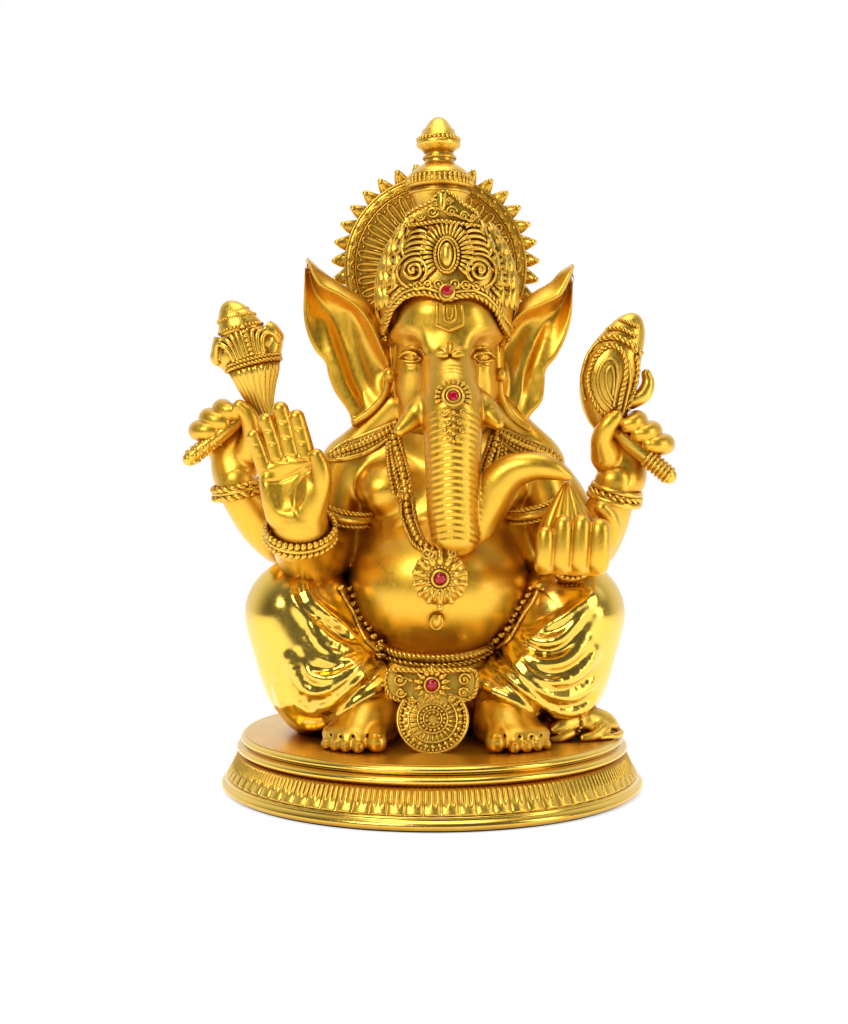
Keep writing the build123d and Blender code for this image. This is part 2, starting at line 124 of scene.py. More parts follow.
def scattered(count, low, span, steps=(0.618, 0.381), start=0.0):
    """Well mixed pairs of values inside a box."""
    return [(low[0] + span[0] * ((k * steps[0]) % 1),
             low[1] + span[1] * ((k * steps[1] + start) % 1)) for k in range(count)]


# ---------------------------------------------------------------- clay
def turned(degrees):
    """Rotation matrix from X, Y, Z turns in degrees."""
    return np.array(Euler([math.radians(a) for a in degrees]).to_matrix())


def ball(at, radii, turn=(0, 0, 0)):
    """An ellipsoid as a shape: its box and its distance."""
    at = np.array(at, float)
    r = np.array([radii] * 3 if np.isscalar(radii) else radii, float)
    m = turned(turn).T

    def distance(x, y, z):
        q = [m[i, 0] * (x - at[0]) + m[i, 1] * (y - at[1]) + m[i, 2] * (z - at[2])
             for i in range(3)]
        near = np.sqrt(sum((q[i] / r[i]) ** 2 for i in range(3)))
        grad = np.sqrt(sum((q[i] / r[i] ** 2) ** 2 for i in range(3))) + 1e-6
        return near * (near - 1) / grad

    reach = r.max()
    return at - reach, at + reach, distance


def slab(at, half, turn=(0, 0, 0), soft=1.0):
    """A box with rounded edges."""
    at = np.array(at, float)
    half = np.array(half, float) - soft
    m = turned(turn).T

    def distance(x, y, z):
        q = [np.abs(m[i, 0] * (x - at[0]) + m[i, 1] * (y - at[1]) + m[i, 2] * (z - at[2]))
             - half[i] for i in range(3)]
        out = np.sqrt(sum(np.maximum(c, 0) ** 2 for c in q))
        return out + np.minimum(np.maximum(q[0], np.maximum(q[1], q[2])), 0) - soft

    reach = np.linalg.norm(half + soft)
    return at - reach, at + reach, distance


def bone(a, b, ra, rb):
    """A round-ended cone between two points."""
    a, b = np.array(a, float), np.array(b, float)
    way = b - a
    square = max(way @ way, 1e-9)

    def distance(x, y, z):
        t = ((x - a[0]) * way[0] + (y - a[1]) * way[1] + (z - a[2]) * way[2]) / square
        t = np.clip(t, 0, 1)
        away = np.sqrt((x - a[0] - t * way[0]) ** 2 + (y - a[1] - t * way[1]) ** 2
                       + (z - a[2] - t * way[2]) ** 2)
        return away - (ra + (rb - ra) * t)

    reach = max(ra, rb)
    return np.minimum(a, b) - reach, np.maximum(a, b) + reach, distance


class Clay:
    """A block of signed distances, shaped by adding and cutting."""

    def __init__(self, low, high, step):
        self.step = step * FINE
        self.low = np.array(low, float)
        self.count = [int((b - a) / self.step) + 2 for a, b in zip(low, high)]
        self.d = np.full(self.count, FAR, np.float32)

    def window(self, low, high):
        """The part of the block inside a box, and its x, y and z."""
        spans = []
        for axis in range(3):
            first = int((low[axis] - self.low[axis]) / self.step)
            last = int((high[axis] - self.low[axis]) / self.step) + 2
            spans.append((min(max(first, 0), self.count[axis]),
                          min(max(last, 0), self.count[axis])))
        axes = [self.low[k] + self.step * np.arange(*spans[k], dtype=np.float32)
                for k in range(3)]
        return tuple(slice(*s) for s in spans), np.ix_(*axes)

    def mix(self, where, other, blend, cut):
        """Smooth union with other distances, or smooth cut by them."""
        mine = self.d[where]
        if cut:
            other = -other
            h = np.clip(0.5 + 0.5 * (other - mine) / blend, 0, 1)
            self.d[where] = mine + (other - mine) * h + blend * h * (1 - h)
        else:
            h = np.clip(0.5 + 0.5 * (mine - other) / blend, 0, 1)
            self.d[where] = mine + (other - mine) * h - blend * h * (1 - h)

    def add(self, shape, blend=1.0, cut=False):
        """Add or cut one shape: its low and high corners and its distance."""
        low, high, distance = shape
        pad = blend + MARGIN
        where, grid = self.window(low - pad, high + pad)
        if self.d[where].size:
            self.mix(where, distance(*grid), blend, cut)

    def run(self, stations, blend=1.0, cut=False, steps=6):
        """A smooth tube through x, y, z, radius stations."""
        line = smooth_line(stations, steps)
        pad = blend + MARGIN
        reach = line[:, 3].max() + pad
        where, grid = self.window(line[:, :3].min(0) - reach, line[:, :3].max(0) + reach)
        if not self.d[where].size:
            return
        inner = Clay.__new__(Clay)
        inner.step = self.step
        inner.low = np.array([g.flat[0] for g in grid], float)
        inner.count = self.d[where].shape
        inner.d = np.full(inner.count, FAR + 3, np.float32)
        for a, b in zip(line, line[1:]):
            low, high, distance = bone(a[:3], b[:3], a[3], b[3])
            sub, near = inner.window(low - pad, high + pad)
            inner.d[sub] = np.minimum(inner.d[sub], distance(*near))
        self.mix(where, inner.d, blend, cut)

    def value(self, p):
        """Distance at one point, between the eight nearest samples."""
        q = (np.array(p, float) - self.low) / self.step
        i = np.clip(q.astype(int), 0, np.array(self.count) - 2)
        f = q - i
        c = self.d[i[0]:i[0] + 2, i[1]:i[1] + 2, i[2]:i[2] + 2]
        c = c[0] * (1 - f[0]) + c[1] * f[0]
        c = c[0] * (1 - f[1]) + c[1] * f[1]
        return float(c[0] * (1 - f[2]) + c[1] * f[2])

    def normal(self, p):
        """The outward direction at one point."""
        p = np.array(p, float)
        g = np.array([self.value(p + e) - self.value(p - e) for e in np.eye(3) * self.step])
        return g / (np.linalg.norm(g) + 1e-9)

    def front(self, x, z, lift=0.0):
        """The first surface point met going back from the front at x, z."""
        i, k = (min(max(int(round((v - self.low[axis]) / self.step)), 0), self.count[axis] - 1)
                for v, axis in ((x, 0), (z, 2)))
        column = self.d[i, :, k]
        inside = np.nonzero(column < 0)[0]
        j = max(inside[0] if len(inside) else int(column.argmin()), 1)
        a, b = column[j - 1], column[j]
        part = a / (a - b) if a > 0 > b else 0.5
        y = self.low[1] + (j - 1 + part) * self.step
        p = np.array([x, y, z])
        return p + lift * self.normal(p)

    def mesh(self):
        """Surface nets: one vertex in each cell that the surface crosses, in millimetres."""
        d = self.d
        solid = d < 0
        count = np.zeros([n - 1 for n in d.shape], np.int8)
        corners = [(a, b, c) for a in (0, 1) for b in (0, 1) for c in (0, 1)]
        shape = d.shape

        def shift(array, a, b, c):
            return array[a:shape[0] - 1 + a, b:shape[1] - 1 + b, c:shape[2] - 1 + c]

        for corner in corners:
            count += shift(solid, *corner)
        cells = np.argwhere((count > 0) & (count < 8))
        number = np.full(count.shape, -1, np.int32)
        number[tuple(cells.T)] = np.arange(len(cells))
        held = {c: d[tuple((cells + c).T)] for c in corners}
        total = np.zeros((len(cells), 3))
        crossings = np.zeros(len(cells))
        for a in corners:
            for axis in range(3):
                if a[axis]:
                    continue
                b = tuple(1 if k == axis else a[k] for k in range(3))
                da, db = held[a], held[b]
                hit = (da < 0) != (db < 0)
                t = np.where(hit, da / np.where(hit, da - db, 1), 0)
                for k in range(3):
                    total[:, k] += hit * (a[k] + (t if k == axis else 0))
                crossings += hit
        verts = self.low + (cells + total / crossings[:, None]) * self.step
        faces = []
        for axis in range(3):
            u, v = (axis + 1) % 3, (axis + 2) % 3
            lower = [slice(None)] * 3
            upper = [slice(None)] * 3
            lower[axis], upper[axis] = slice(0, -1), slice(1, None)
            a, b = solid[tuple(lower)], solid[tuple(upper)]
            for outward in (True, False):
                edges = np.argwhere((a & ~b) if outward else (~a & b))
                keep = (edges[:, u] > 0) & (edges[:, v] > 0)
                keep &= (edges[:, u] < shape[u] - 1) & (edges[:, v] < shape[v] - 1)
                edges = edges[keep]
                ring = []
                for du, dv in ((0, 0), (1, 0), (1, 1), (0, 1)):
                    cell = edges.copy()
                    cell[:, u] -= du
                    cell[:, v] -= dv
                    ring.append(number[tuple(cell.T)])
                quad = np.stack(ring if outward else ring[::-1], 1)
                faces.append(quad)
        return verts, np.vstack(faces)


# ---------------------------------------------------------------- trim
def facing(normal, up=(0, 0, 1)):
    """Axes across, along and out, with out along the normal."""
    out = np.array(normal, float)
    out /= np.linalg.norm(out)
    along = np.array(up, float) - out * (np.array(up, float) @ out)
    if np.linalg.norm(along) < 1e-4:
        along = np.array([0, 1, 0.0]) - out * out[1]
    along /= np.linalg.norm(along)
    return np.stack([np.cross(along, out), along, out], 1)


def globe(rings, sides):
    """A round bead of unit radius."""
    verts = [(0, 0, 1)]
    for k in range(1, rings):
        a = math.pi * k / rings
        verts += [(math.sin(a) * math.cos(2 * math.pi * j / sides),
                   math.sin(a) * math.sin(2 * math.pi * j / sides), math.cos(a))
                  for j in range(sides)]
    verts.append((0, 0, -1))
    faces = fan_and_quads(rings - 1, sides)
    last = len(verts) - 1
    base = 1 + (rings - 2) * sides
    faces += [(last, base + (j + 1) % sides, base + j) for j in range(sides)]
    return np.array(verts, float), faces


GLOBE = globe(5, 8)
GLOBE_FINE = globe(8, 14)


def spokes(axes, count):
    """Directions evenly round the axes' normal, from the upward one."""
    return [axes[:, 1] * math.cos(a) + axes[:, 0] * math.sin(a) for a in around(count)]


class Trim:
    """Many small raised shapes gathered into one mesh."""

    def __init__(self):
        self.verts, self.faces, self.total = [], [], 0

    def mesh(self):
        """All the points and faces."""
        return np.vstack(self.verts), self.faces

    def put(self, verts, faces):
        """Add one shape, its faces counted from its own first point."""
        verts = np.asarray(verts, float)
        self.verts.append(verts)
        self.faces += [tuple(i + self.total for i in f) for f in faces]
        self.total += len(verts)

    def bead(self, at, radii, axes=None, fine=False):
        """A round or oval bead."""
        verts, faces = GLOBE_FINE if fine else GLOBE
        verts = verts * radii
        if axes is not None:
            verts = verts @ np.asarray(axes).T
        self.put(verts + np.array(at, float), faces)

    def tube(self, points, radius, sides=8, closed=False, flat=1.0, up=None):
        """A tube along the points; radius is one number or one for each point."""
        p = np.array(points, float)
        n = len(p)
        r = np.broadcast_to(np.array(radius, float), (n,))
        if closed:
            way = np.roll(p, -1, 0) - np.roll(p, 1, 0)
        else:
            way = np.gradient(p, axis=0)
        way /= np.linalg.norm(way, axis=1)[:, None] + 1e-12
        if up is None:
            side = np.cross(way[0], (0, 0, 1))
            if np.linalg.norm(side) < 0.2:
                side = np.cross(way[0], (0, 1, 0))
            ups = []
            for w in way:
                side = side - w * (side @ w)
                side /= np.linalg.norm(side) + 1e-12
                ups.append(side)
            ups = np.array(ups)
        else:
            ups = np.broadcast_to(np.array(up, float), p.shape)
            ups = ups - way * (ups * way).sum(1)[:, None]
            ups = ups / (np.linalg.norm(ups, axis=1)[:, None] + 1e-12)
        other = np.cross(way, ups)
        turn = 2 * np.pi * np.arange(sides) / sides
        ring = (ups[:, None] * np.cos(turn)[None, :, None] * flat
                + other[:, None] * np.sin(turn)[None, :, None])
        verts = (p[:, None] + ring * r[:, None, None]).reshape(-1, 3)
        self.put(verts, quads(n, sides, looped=closed)
                 + ([] if closed else end_faces(n, sides)))

    def beads(self, points, radius, gap=1.9):
        """Beads in a row along the points."""
        for at in spaced(points, radius * gap):
            self.bead(at, radius)

    def rope(self, points, radius, pitch=2.4, strands=2):
        """Strands twisted round a line."""
        line = spaced(points, radius * 0.45)
        way = np.gradient(line, axis=0)
        way /= np.linalg.norm(way, axis=1)[:, None] + 1e-12
        side = np.cross(way, (0.13, 0.07, 1))
        side /= np.linalg.norm(side, axis=1)[:, None] + 1e-12
        other = np.cross(way, side)
        length = np.r_[0, np.cumsum(np.linalg.norm(np.diff(line, axis=0), axis=1))]
        for k in range(strands):
            a = 2 * np.pi * (length / (pitch * radius * 2) + k / strands)
            off = side * np.cos(a)[:, None] + other * np.sin(a)[:, None]
            self.tube(line + off * radius * 0.5, radius * 0.62, 6)

    def petal(self, at, axes, length, width, height, point=0.35):
        """A raised leaf along the axes' second direction, with a ridge."""
        rows, cols = 7, 5
        verts = []
        for r in range(rows):
            t = r / (rows - 1)
            half = width / 2 * math.sin(math.pi * min(0.08 + t * (1 - point * t) * 1.25, 1)) ** 0.8
            rise = height * (0.55 + 0.45 * math.sin(math.pi * t))
            for c in range(cols):
                s = c / (cols - 1) * 2 - 1
                verts.append((s * half, t * length, rise * (1 - s * s) ** 0.7))
        self.put(np.array(verts) @ np.asarray(axes).T + np.array(at, float),
                 quads(rows, cols, closed=False))

    def scroll(self, at, axes, radius, turns=1.6, thick=0.5, flip=1):
        """A flat spiral."""
        t = np.linspace(0, 1, int(14 * turns) + 2)
        a = flip * 2 * np.pi * turns * t
        r = radius * (1 - 0.85 * t)
        flat = np.stack([r * np.cos(a), r * np.sin(a), 0.25 * thick + 0.6 * thick * t], 1)
        self.tube(flat @ np.asarray(axes).T + np.array(at, float),
                  thick * (1 - 0.35 * t), 6)

    def ringlet(self, at, axes, radius, thick, sides=40, beaded=False, oval=1.0):
        """A ring or a ring of beads lying flat on the axes."""
        a = 2 * np.pi * np.arange(sides) / sides
        flat = np.stack([radius * np.cos(a), radius * oval * np.sin(a), 0 * a], 1)
        line = flat @ np.asarray(axes).T + np.array(at, float)
        if beaded:
            for point in line:
                self.bead(point, thick)
        else:
            self.tube(line, thick, 6, closed=True)

    def rosette(self, at, normal, radius, seat):
        """A jewelled flower: seat, beads, petals and a scalloped rim."""
        axes = facing(normal)
        at = np.array(at, float)
        out = axes[:, 2]
        self.dome(at - out * 1.0, axes, radius * 0.93, 1.3)
        self.ringlet(at + out * 0.7, axes, seat, 0.42, 24)
        self.ringlet(at + out * 0.5, axes, seat + 0.95, 0.42, 18, beaded=True)
        petals = max(10, int(radius * 1.5))
        inner = seat + 1.3
        for along in spokes(axes, petals):
            self.petal(at + along * inner + out * 0.1, facing(out, along),
                       (radius - inner) * 0.98, 2 * math.pi * radius / petals * 0.78, 0.95)
            self.bead(at + along * (radius - 0.1), min(0.75, radius * 0.085))

    def dome(self, at, axes, radius, height, rings=5, sides=36, oval=1.0):
        """A low round cap."""
        verts = [(0, 0, height)]
        for k in range(1, rings + 1):
            t = k / rings
            z = height * math.sqrt(max(0, 1 - t**3)) if k < rings else -0.6
            for j in range(sides):
                a = 2 * math.pi * j / sides
                verts.append((radius * t * math.cos(a), radius * oval * t * math.sin(a), z))
        self.put(np.array(verts) @ np.asarray(axes).T + np.array(at, float),
                 fan_and_quads(rings, sides))


# ---------------------------------------------------------------- places on the clay
def lowest(clays, x, z, lift=0.0):
    """The point nearest the front among several clays."""
    return min((clay.front(x, z, lift) for clay in clays), key=lambda p: p[1])


def laid(clays, flat, lift=0.0, gap=None, steps=6):
    """x, z points laid over whichever clay is in front."""
    line = smooth_line([(x, 0, z) for x, z in flat], steps)
    if gap:
        line = spaced(line, gap)
    return np.array([lowest(clays, x, z, lift) for x, _, z in line])


def behind(clays, x, z, lift=0.0):
    """The point nearest the back among several clays."""
    best = np.array([x, 0.0, z])
    for clay in clays:
        i, k = (int(round((v - clay.low[axis]) / clay.step)) for v, axis in ((x, 0), (z, 2)))
        if 0 <= i < clay.count[0]:
            inside = np.nonzero(clay.d[i, :, k] < 0)[0]
            if len(inside):
                best[1] = max(best[1], clay.low[1] + (inside[-1] + 0.5) * clay.step)
    return best + np.array([0, lift, 0])


# ---------------------------------------------------------------- pieces
def write(name, made, nodes, slot, paint=None, shade=True):
    """Make a piece of clay or trim, ride it on the root and let it stand for its nodes."""
    mesh = bpy.data.meshes.new(name)
    verts, faces = made.mesh()
    verts = verts * MM
    if isinstance(faces, np.ndarray):
        mesh.vertices.add(len(verts))
        mesh.vertices.foreach_set("co", verts.ravel())
        mesh.loops.add(faces.size)
        mesh.loops.foreach_set("vertex_index", faces.ravel())
        mesh.polygons.add(len(faces))
        mesh.polygons.foreach_set("loop_start", np.arange(0, faces.size, 4))
        mesh.update(calc_edges=True)
    else:
        mesh.from_pydata(verts.tolist(), [], faces)
        mesh.update()
    mesh.validate()
    if shade:
        mesh.shade_smooth()
    piece = link(name, mesh)
    mesh.materials.append(paint or FINISHES[slot])
    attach(piece, "root")
    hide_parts(*nodes)
    return piece


# ---------------------------------------------------------------- finishes
def set_inputs(node, **values):
    """Set a node's inputs; a name's spaces are written as underscores."""
    for key, value in values.items():
        node.inputs[key.replace("_", " ")].default_value = value


def start_paint(name, **values):
    """A new material: its nodes, links, shader and object coordinates."""
    paint = bpy.data.materials.new(name)
    paint.use_nodes = True
    nodes, links = paint.node_tree.nodes, paint.node_tree.links
    shader = nodes["Principled BSDF"]
    set_inputs(shader, **values)
    place = nodes.new("ShaderNodeTexCoord").outputs["Object"]
    return paint, nodes, links, shader, place


def add_relief(nodes, links, shader, height, strength, depth):
    """Fine bumps on the shader's normal."""
    relief = nodes.new("ShaderNodeBump")
    set_inputs(relief, Strength=strength, Distance=depth)
    links.new(height, relief.inputs["Height"])
    links.new(relief.outputs["Normal"], shader.inputs["Normal"])


def add_ramp(nodes, links, shader, factor, dark, light):
    """A colour between two, on the shader's base colour."""
    ramp = nodes.new("ShaderNodeValToRGB")
    ramp.color_ramp.elements[0].color = (*dark, 1)
    ramp.color_ramp.elements[1].color = (*light, 1)
    links.new(factor, ramp.inputs["Fac"])
    links.new(ramp.outputs["Color"], shader.inputs["Base Color"])


def gold(name, bright, deep, rough, grain, bump, coat):
    """Plated gold with painted shade darkening its hollows, faint grain and wear."""
    paint, nodes, links, shader, place = start_paint(
        name, Metallic=1.0, Coat_Weight=coat, Coat_Roughness=0.25)

    def noise(scale, detail=4.0):
        node = nodes.new("ShaderNodeTexNoise")
        set_inputs(node, Scale=scale, Detail=detail)
        links.new(place, node.inputs["Vector"])
        return node.outputs["Fac"]

    def spread(source, low, high, to_low, to_high):
        node = nodes.new("ShaderNodeMapRange")
        set_inputs(node, From_Min=low, From_Max=high, To_Min=to_low, To_Max=to_high)
        links.new(source, node.inputs["Value"])
        return node.outputs["Result"]

    def mixed(factor, a, b):
        node = nodes.new("ShaderNodeMix")
        node.data_type = "RGBA"
        links.new(factor, node.inputs["Factor"])
        for key, colour in (("A", a), ("B", b)):
            socket = [s for s in node.inputs if s.name == key and s.type == "RGBA"][0]
            if isinstance(colour, tuple):
                socket.default_value = (*colour, 1)
            else:
                links.new(colour, socket)
        return [s for s in node.outputs if s.type == "RGBA"][0]

    # painted shade: ambient occlusion turns the colour towards the deep colour in hollows and where
    # parts meet
    shade_occlusion = nodes.new("ShaderNodeAmbientOcclusion")
    set_inputs(shade_occlusion, Distance=0.007)
    shade_occlusion.samples = 6
    unshaded_share = spread(shade_occlusion.outputs["AO"], 0.35, 0.95, 0.0, 1.0)
    colour = mixed(unshaded_share, deep, bright)
    patch = spread(noise(38.0), 0.42, 0.62, 0.0, 0.30)
    colour = mixed(patch, colour, tuple(0.80 * c for c in bright))
    links.new(colour, shader.inputs["Base Color"])
    links.new(spread(noise(900.0, 2.0), 0.3, 0.7, rough * 0.8, rough * 1.25),
              shader.inputs["Roughness"])
    add_relief(nodes, links, shader, noise(grain, 3.0), bump, 0.0002)
    return paint


def plain(name, colour, rough, metal=0.0, grain=600.0, bump=0.3):
    """A plain finish with fine grain."""
    paint, nodes, links, shader, place = start_paint(name, Metallic=metal, Roughness=rough)
    speck = nodes.new("ShaderNodeTexNoise")
    set_inputs(speck, Scale=grain)
    links.new(place, speck.inputs["Vector"])
    add_ramp(nodes, links, shader, speck.outputs["Fac"], [0.75 * c for c in colour], colour)
    add_relief(nodes, links, shader, speck.outputs["Fac"], bump, 0.0003)
    return paint


def crystal():
    """Dark red faceted glass over foil."""
    paint, nodes, links, shader, place = start_paint(
        "red crystal", Roughness=0.16, Coat_Weight=0.25, Metallic=0.1)
    cells = nodes.new("ShaderNodeTexVoronoi")
    set_inputs(cells, Scale=900.0)
    links.new(place, cells.inputs["Vector"])
    add_ramp(nodes, links, shader, cells.outputs["Distance"], (0.26, 0.0, 0.008),
             (0.62, 0.003, 0.016))
    return paint


# each gold's second colour is the painted shade colour for its occluded hollows
SATIN = gold("satin gold", (0.86, 0.49, 0.032), (0.62, 0.27, 0.006), 0.38, 2600.0, 0.10, 0.5)
BRIGHT = gold("bright gold", (0.88, 0.58, 0.085), (0.45, 0.20, 0.010), 0.20, 300.0, 0.02, 0.2)
ANTIQUE = gold("antique gold", (0.90, 0.56, 0.065), (0.46, 0.19, 0.006), 0.34, 1500.0, 0.30, 0.3)
STEEL = plain("steel", (0.55, 0.55, 0.56), 0.3, 1.0)
RESIN = plain("raw resin", (0.62, 0.58, 0.50), 0.6)
FELT = plain("felt", (0.03, 0.03, 0.03), 0.95, 0.0, 2500.0, 0.8)
CRYSTAL = crystal()
FINISHES = {"steel": STEEL, "raw_resin": RESIN, "felt": FELT, "red_crystal": CRYSTAL,
            "bright_gold": BRIGHT, "satin_gold": SATIN, "antique_gold": ANTIQUE}


# ---------------------------------------------------------------- body
def fold(clay, flat, radius, lift=0.0, blend=2.0, cut=False):
    """A raised fold or a crease along x, z points, thinning towards both ends."""
    line = laid([clay], flat, steps=8)
    middle = np.sin(np.pi * np.linspace(0.02, 0.98, len(line))) ** 0.6
    away = lift + (1 - middle) * radius * (0.9 if cut else -0.9)
    line = line + np.array([clay.normal(p) for p in line]) * away[:, None]
    clay.run(np.c_[line, radius * (0.6 + 0.4 * middle)], blend, cut, steps=1)


def sculpt_body():
    """Belly, hips, chest, shoulders, neck and the four arms."""
    clay = Clay((-104, -58, 24), (104, 46, 190), 0.93)
    clay.add(ball((1, 4, 50), (42, 35, 30)))
    clay.add(ball((3, 2, 96), (36, 30, 50)), 6)
    clay.add(ball((3, -8.5, 90), (40.5, 37, 32)), 6)
    clay.add(ball((3, 9, 72), (42, 27, 24)), 8)
    clay.add(ball((-38, 6, 104), (10, 13, 15)), 6)
    clay.add(ball((46, 6, 104), (10, 13, 15)), 6)
    clay.add(ball((4, 1, 132), (38, 20, 23)), 7)
    clay.add(ball((3, 9, 110), (48, 24, 38)), 5)
    clay.run([(-37, 3, 144, 12), (5, 5, 150, 15), (46, 3, 144, 12)], 6)
    for side, x in ((-1, 0), (1, 11.5)):
        clay.run([(x + side * 17, 0, 170, 8), (x + side * 27, 1, 160, 7.5),
                  (x + side * 38, 2, 151, 6.5), (x + side * 43, 2, 146, 5)], 4)
    clay.run([(5, 2, 148, 19), (6, -4, 168, 18)], 6)
    for side in (-1, 1):
        x = 4 + side * 21
        clay.add(ball((x, -9, 134), (17, 13, 12)), 4)
        clay.add(ball((x + side * 5, -15, 131), (8, 7, 7)), 5)
    # upper arm, elbow and forearm: right front, left front, right rear, left rear
    clay.run([(-38, 1, 143, 12.2), (-43, -1, 130, 11.6), (-46, -6, 114, 11.2),
              (-49, -14, 104, 12.8), (-54, -25, 106, 13.6), (-56, -36, 113, 13.2)], 3)
    clay.run([(47, 1, 142, 12.2), (51, -1, 130, 11.6), (55, -6, 115, 11.2),
              (60, -14, 106, 11.4), (61, -27, 104, 9.8), (60, -35, 105, 8.6)], 3)
    clay.run([(-36, 8, 143, 12.2), (-50, 12, 130, 12.2), (-60, 10, 114, 12.6),
              (-66, 6, 110, 12.6), (-75, -1, 117, 11.6), (-84, -7, 129, 9.6),
              (-87, -8, 136, 9.0)], 3)
    clay.run([(46, 8, 143, 12.2), (58, 12, 129, 12.2), (66, 10, 113, 12.6),
              (71, 5, 108, 12.6), (76, -1, 116, 11.6), (80.5, -7, 128, 9.6),
              (81.5, -8, 136, 9.0)], 3)
    clay.add(ball((2, -44.6, 77.5), (2.6, 2.5, 2.6)), 2.5, cut=True)
    fold(clay, [(-13, 118), (-2, 121), (5, 122), (14, 121), (24, 118)], 1.0, 0, 3, True)
    clay.add(deck((0, 0), 60, 10.7), 0.6, cut=True)
    return clay


def deck(at, half, deep=11):
    """The top of the plinth as a slab that cuts clay off flat."""
    return slab((*at, PLINTH_TOP - deep), (half, half, deep))


def sculpt_leg(side, ridges, creases):
    """A bent leg in polished cloth. Points are given for the figure's right side."""
    low, high = (-90, -6) if side < 0 else (6, 92)
    clay = Clay((low, -56, 22), (high, 34, 106), 0.75)
    out = 0 if side < 0 else 2.5

    def at(x, y, z, *rest):
        return (side * -x + out, y, z, *rest)

    clay.add(ball(at(-57, -10, 77), (25.5, 27, 25)))
    clay.add(ball(at(-53, -11, 64), (26.5, 26.5, 23)), 5)
    clay.add(ball(at(-49, -12, 50), (26, 25, 24)), 7)
    clay.run([at(-18, 6, 60, 22), at(-40, -2, 66, 23), at(-60, -12, 79, 21)], 6)
    clay.run([at(-62, -22, 78, 15), at(-50, -27, 60, 15), at(-36, -30, 47, 14),
              at(-25, -27, 46, 12.6)], 5)
    clay.add(ball(at(-50, -6, 32), (15, 22, 9)), 6)
    for line, radius in ridges:
        fold(clay, line, radius * 1.6, 0.2, 4.5)
    for line, radius in creases:
        fold(clay, line, radius * 0.9, 0.5, 2.6, True)
    clay.add(deck((0, 0), 110), 0.5, cut=True)
    return clay


def right_cloth():
    """Ridges and creases of the right leg's cloth, each x, z points and a radius."""
    ridges = [
        ([(-57, 101), (-56, 95), (-53, 87), (-47.5, 81), (-40, 75), (-34, 69.5), (-25, 68)], 1.3),
        ([(-60, 90.5), (-57.5, 85), (-53, 79), (-48.5, 73), (-43.5, 68.5), (-38, 66),
          (-31, 65), (-25, 66.5)], 1.5),
        ([(-51, 72.5), (-48.5, 67), (-44, 62.5), (-38, 60.5), (-32, 62.5), (-25, 65.5)], 1.7),
        ([(-53, 59.5), (-51, 55), (-45.5, 53), (-38, 55), (-32, 59), (-24.5, 63.5)], 1.9),
        ([(-61, 60), (-57.5, 52), (-51, 47), (-44, 48.5), (-37, 53.5),
          (-23, 62)], 1.8),
        ([(-65, 51), (-60, 42), (-52, 38), (-45.5, 40.5), (-37, 48),
          (-22, 60)], 1.9),
        ([(-67, 46), (-63.5, 38.5), (-57, 32.5), (-50, 31.5), (-43, 34.5),
          (-36, 40.5), (-28.5, 45.5), (-15, 52)], 1.6),
    ]
    creases = [
        ([(-58.5, 98), (-57, 89), (-52.5, 82), (-45, 75.5), (-38, 70), (-30, 67)], 1.1),
        ([(-54, 74), (-51.5, 69), (-46.5, 64), (-40, 62.5), (-33, 64), (-26, 66)], 1.2),
        ([(-55, 62), (-51, 58), (-44, 57), (-36, 59.5), (-27, 64)], 1.2),
        ([(-62, 56), (-59.5, 49.5), (-53.5, 44.5), (-46, 44.5), (-38, 50),
          (-24, 61)], 1.4),
        ([(-64.5, 50), (-62, 43.5), (-56.5, 36.5), (-48, 35), (-40, 40),
          (-32, 47), (-20, 56)], 1.5),
        ([(-57, 64), (-55.5, 57), (-51, 51), (-44, 51), (-36, 56)], 1.0),
    ]
    return ridges, creases


def left_cloth():
    """Ridges and creases of the left leg's cloth."""
    ridges = [
        ([(70, 88), (64.5, 84), (58.5, 79.5), (50, 74.5), (43, 70)], 1.4),
        ([(33, 72.5), (40.5, 69.5), (47.5, 68), (55, 70), (62, 77)], 1.4),
        ([(33, 70), (38.5, 64.5), (45, 60), (51.5, 59.5), (58.5, 62), (65, 68)], 1.8),
        ([(31, 68), (38, 60), (45, 54), (52, 52), (59, 53.5), (66, 58), (70, 63)], 1.9),
        ([(29, 66), (36.5, 57.5), (42.5, 51.5), (49, 47), (56, 44.5), (63, 45.5),
          (69, 49)], 1.9),
        ([(24, 63), (31, 55), (38.5, 48.5), (46, 43), (52.5, 38.5), (60, 37), (67, 39),
          (71, 43)], 1.7),
        ([(15, 54), (25.5, 48), (34, 44.5), (40.5, 39), (44, 33)], 1.5),
    ]
    creases = [
        ([(34, 72), (40, 67), (46, 64.5), (52.5, 65), (58.5, 69), (66, 77)], 1.2),
        ([(32, 69), (39, 62), (45, 57), (51.5, 55.5), (58.5, 57.5), (67, 64)], 1.3),
        ([(30, 67), (37, 58.5), (44, 52), (51, 49), (58, 48.5), (65, 51.5), (69, 55)], 1.4),
        ([(27, 64.5), (34, 56), (41, 49.5), (49, 43.5), (56, 41), (63, 41.5), (69, 45)], 1.5),
        ([(21, 58), (30, 51.5), (39, 45), (47, 38.5), (51, 33)], 1.3),
        ([(48, 72), (56, 76), (63, 82), (69, 85.5)], 1.0),
    ]
    return ridges, creases


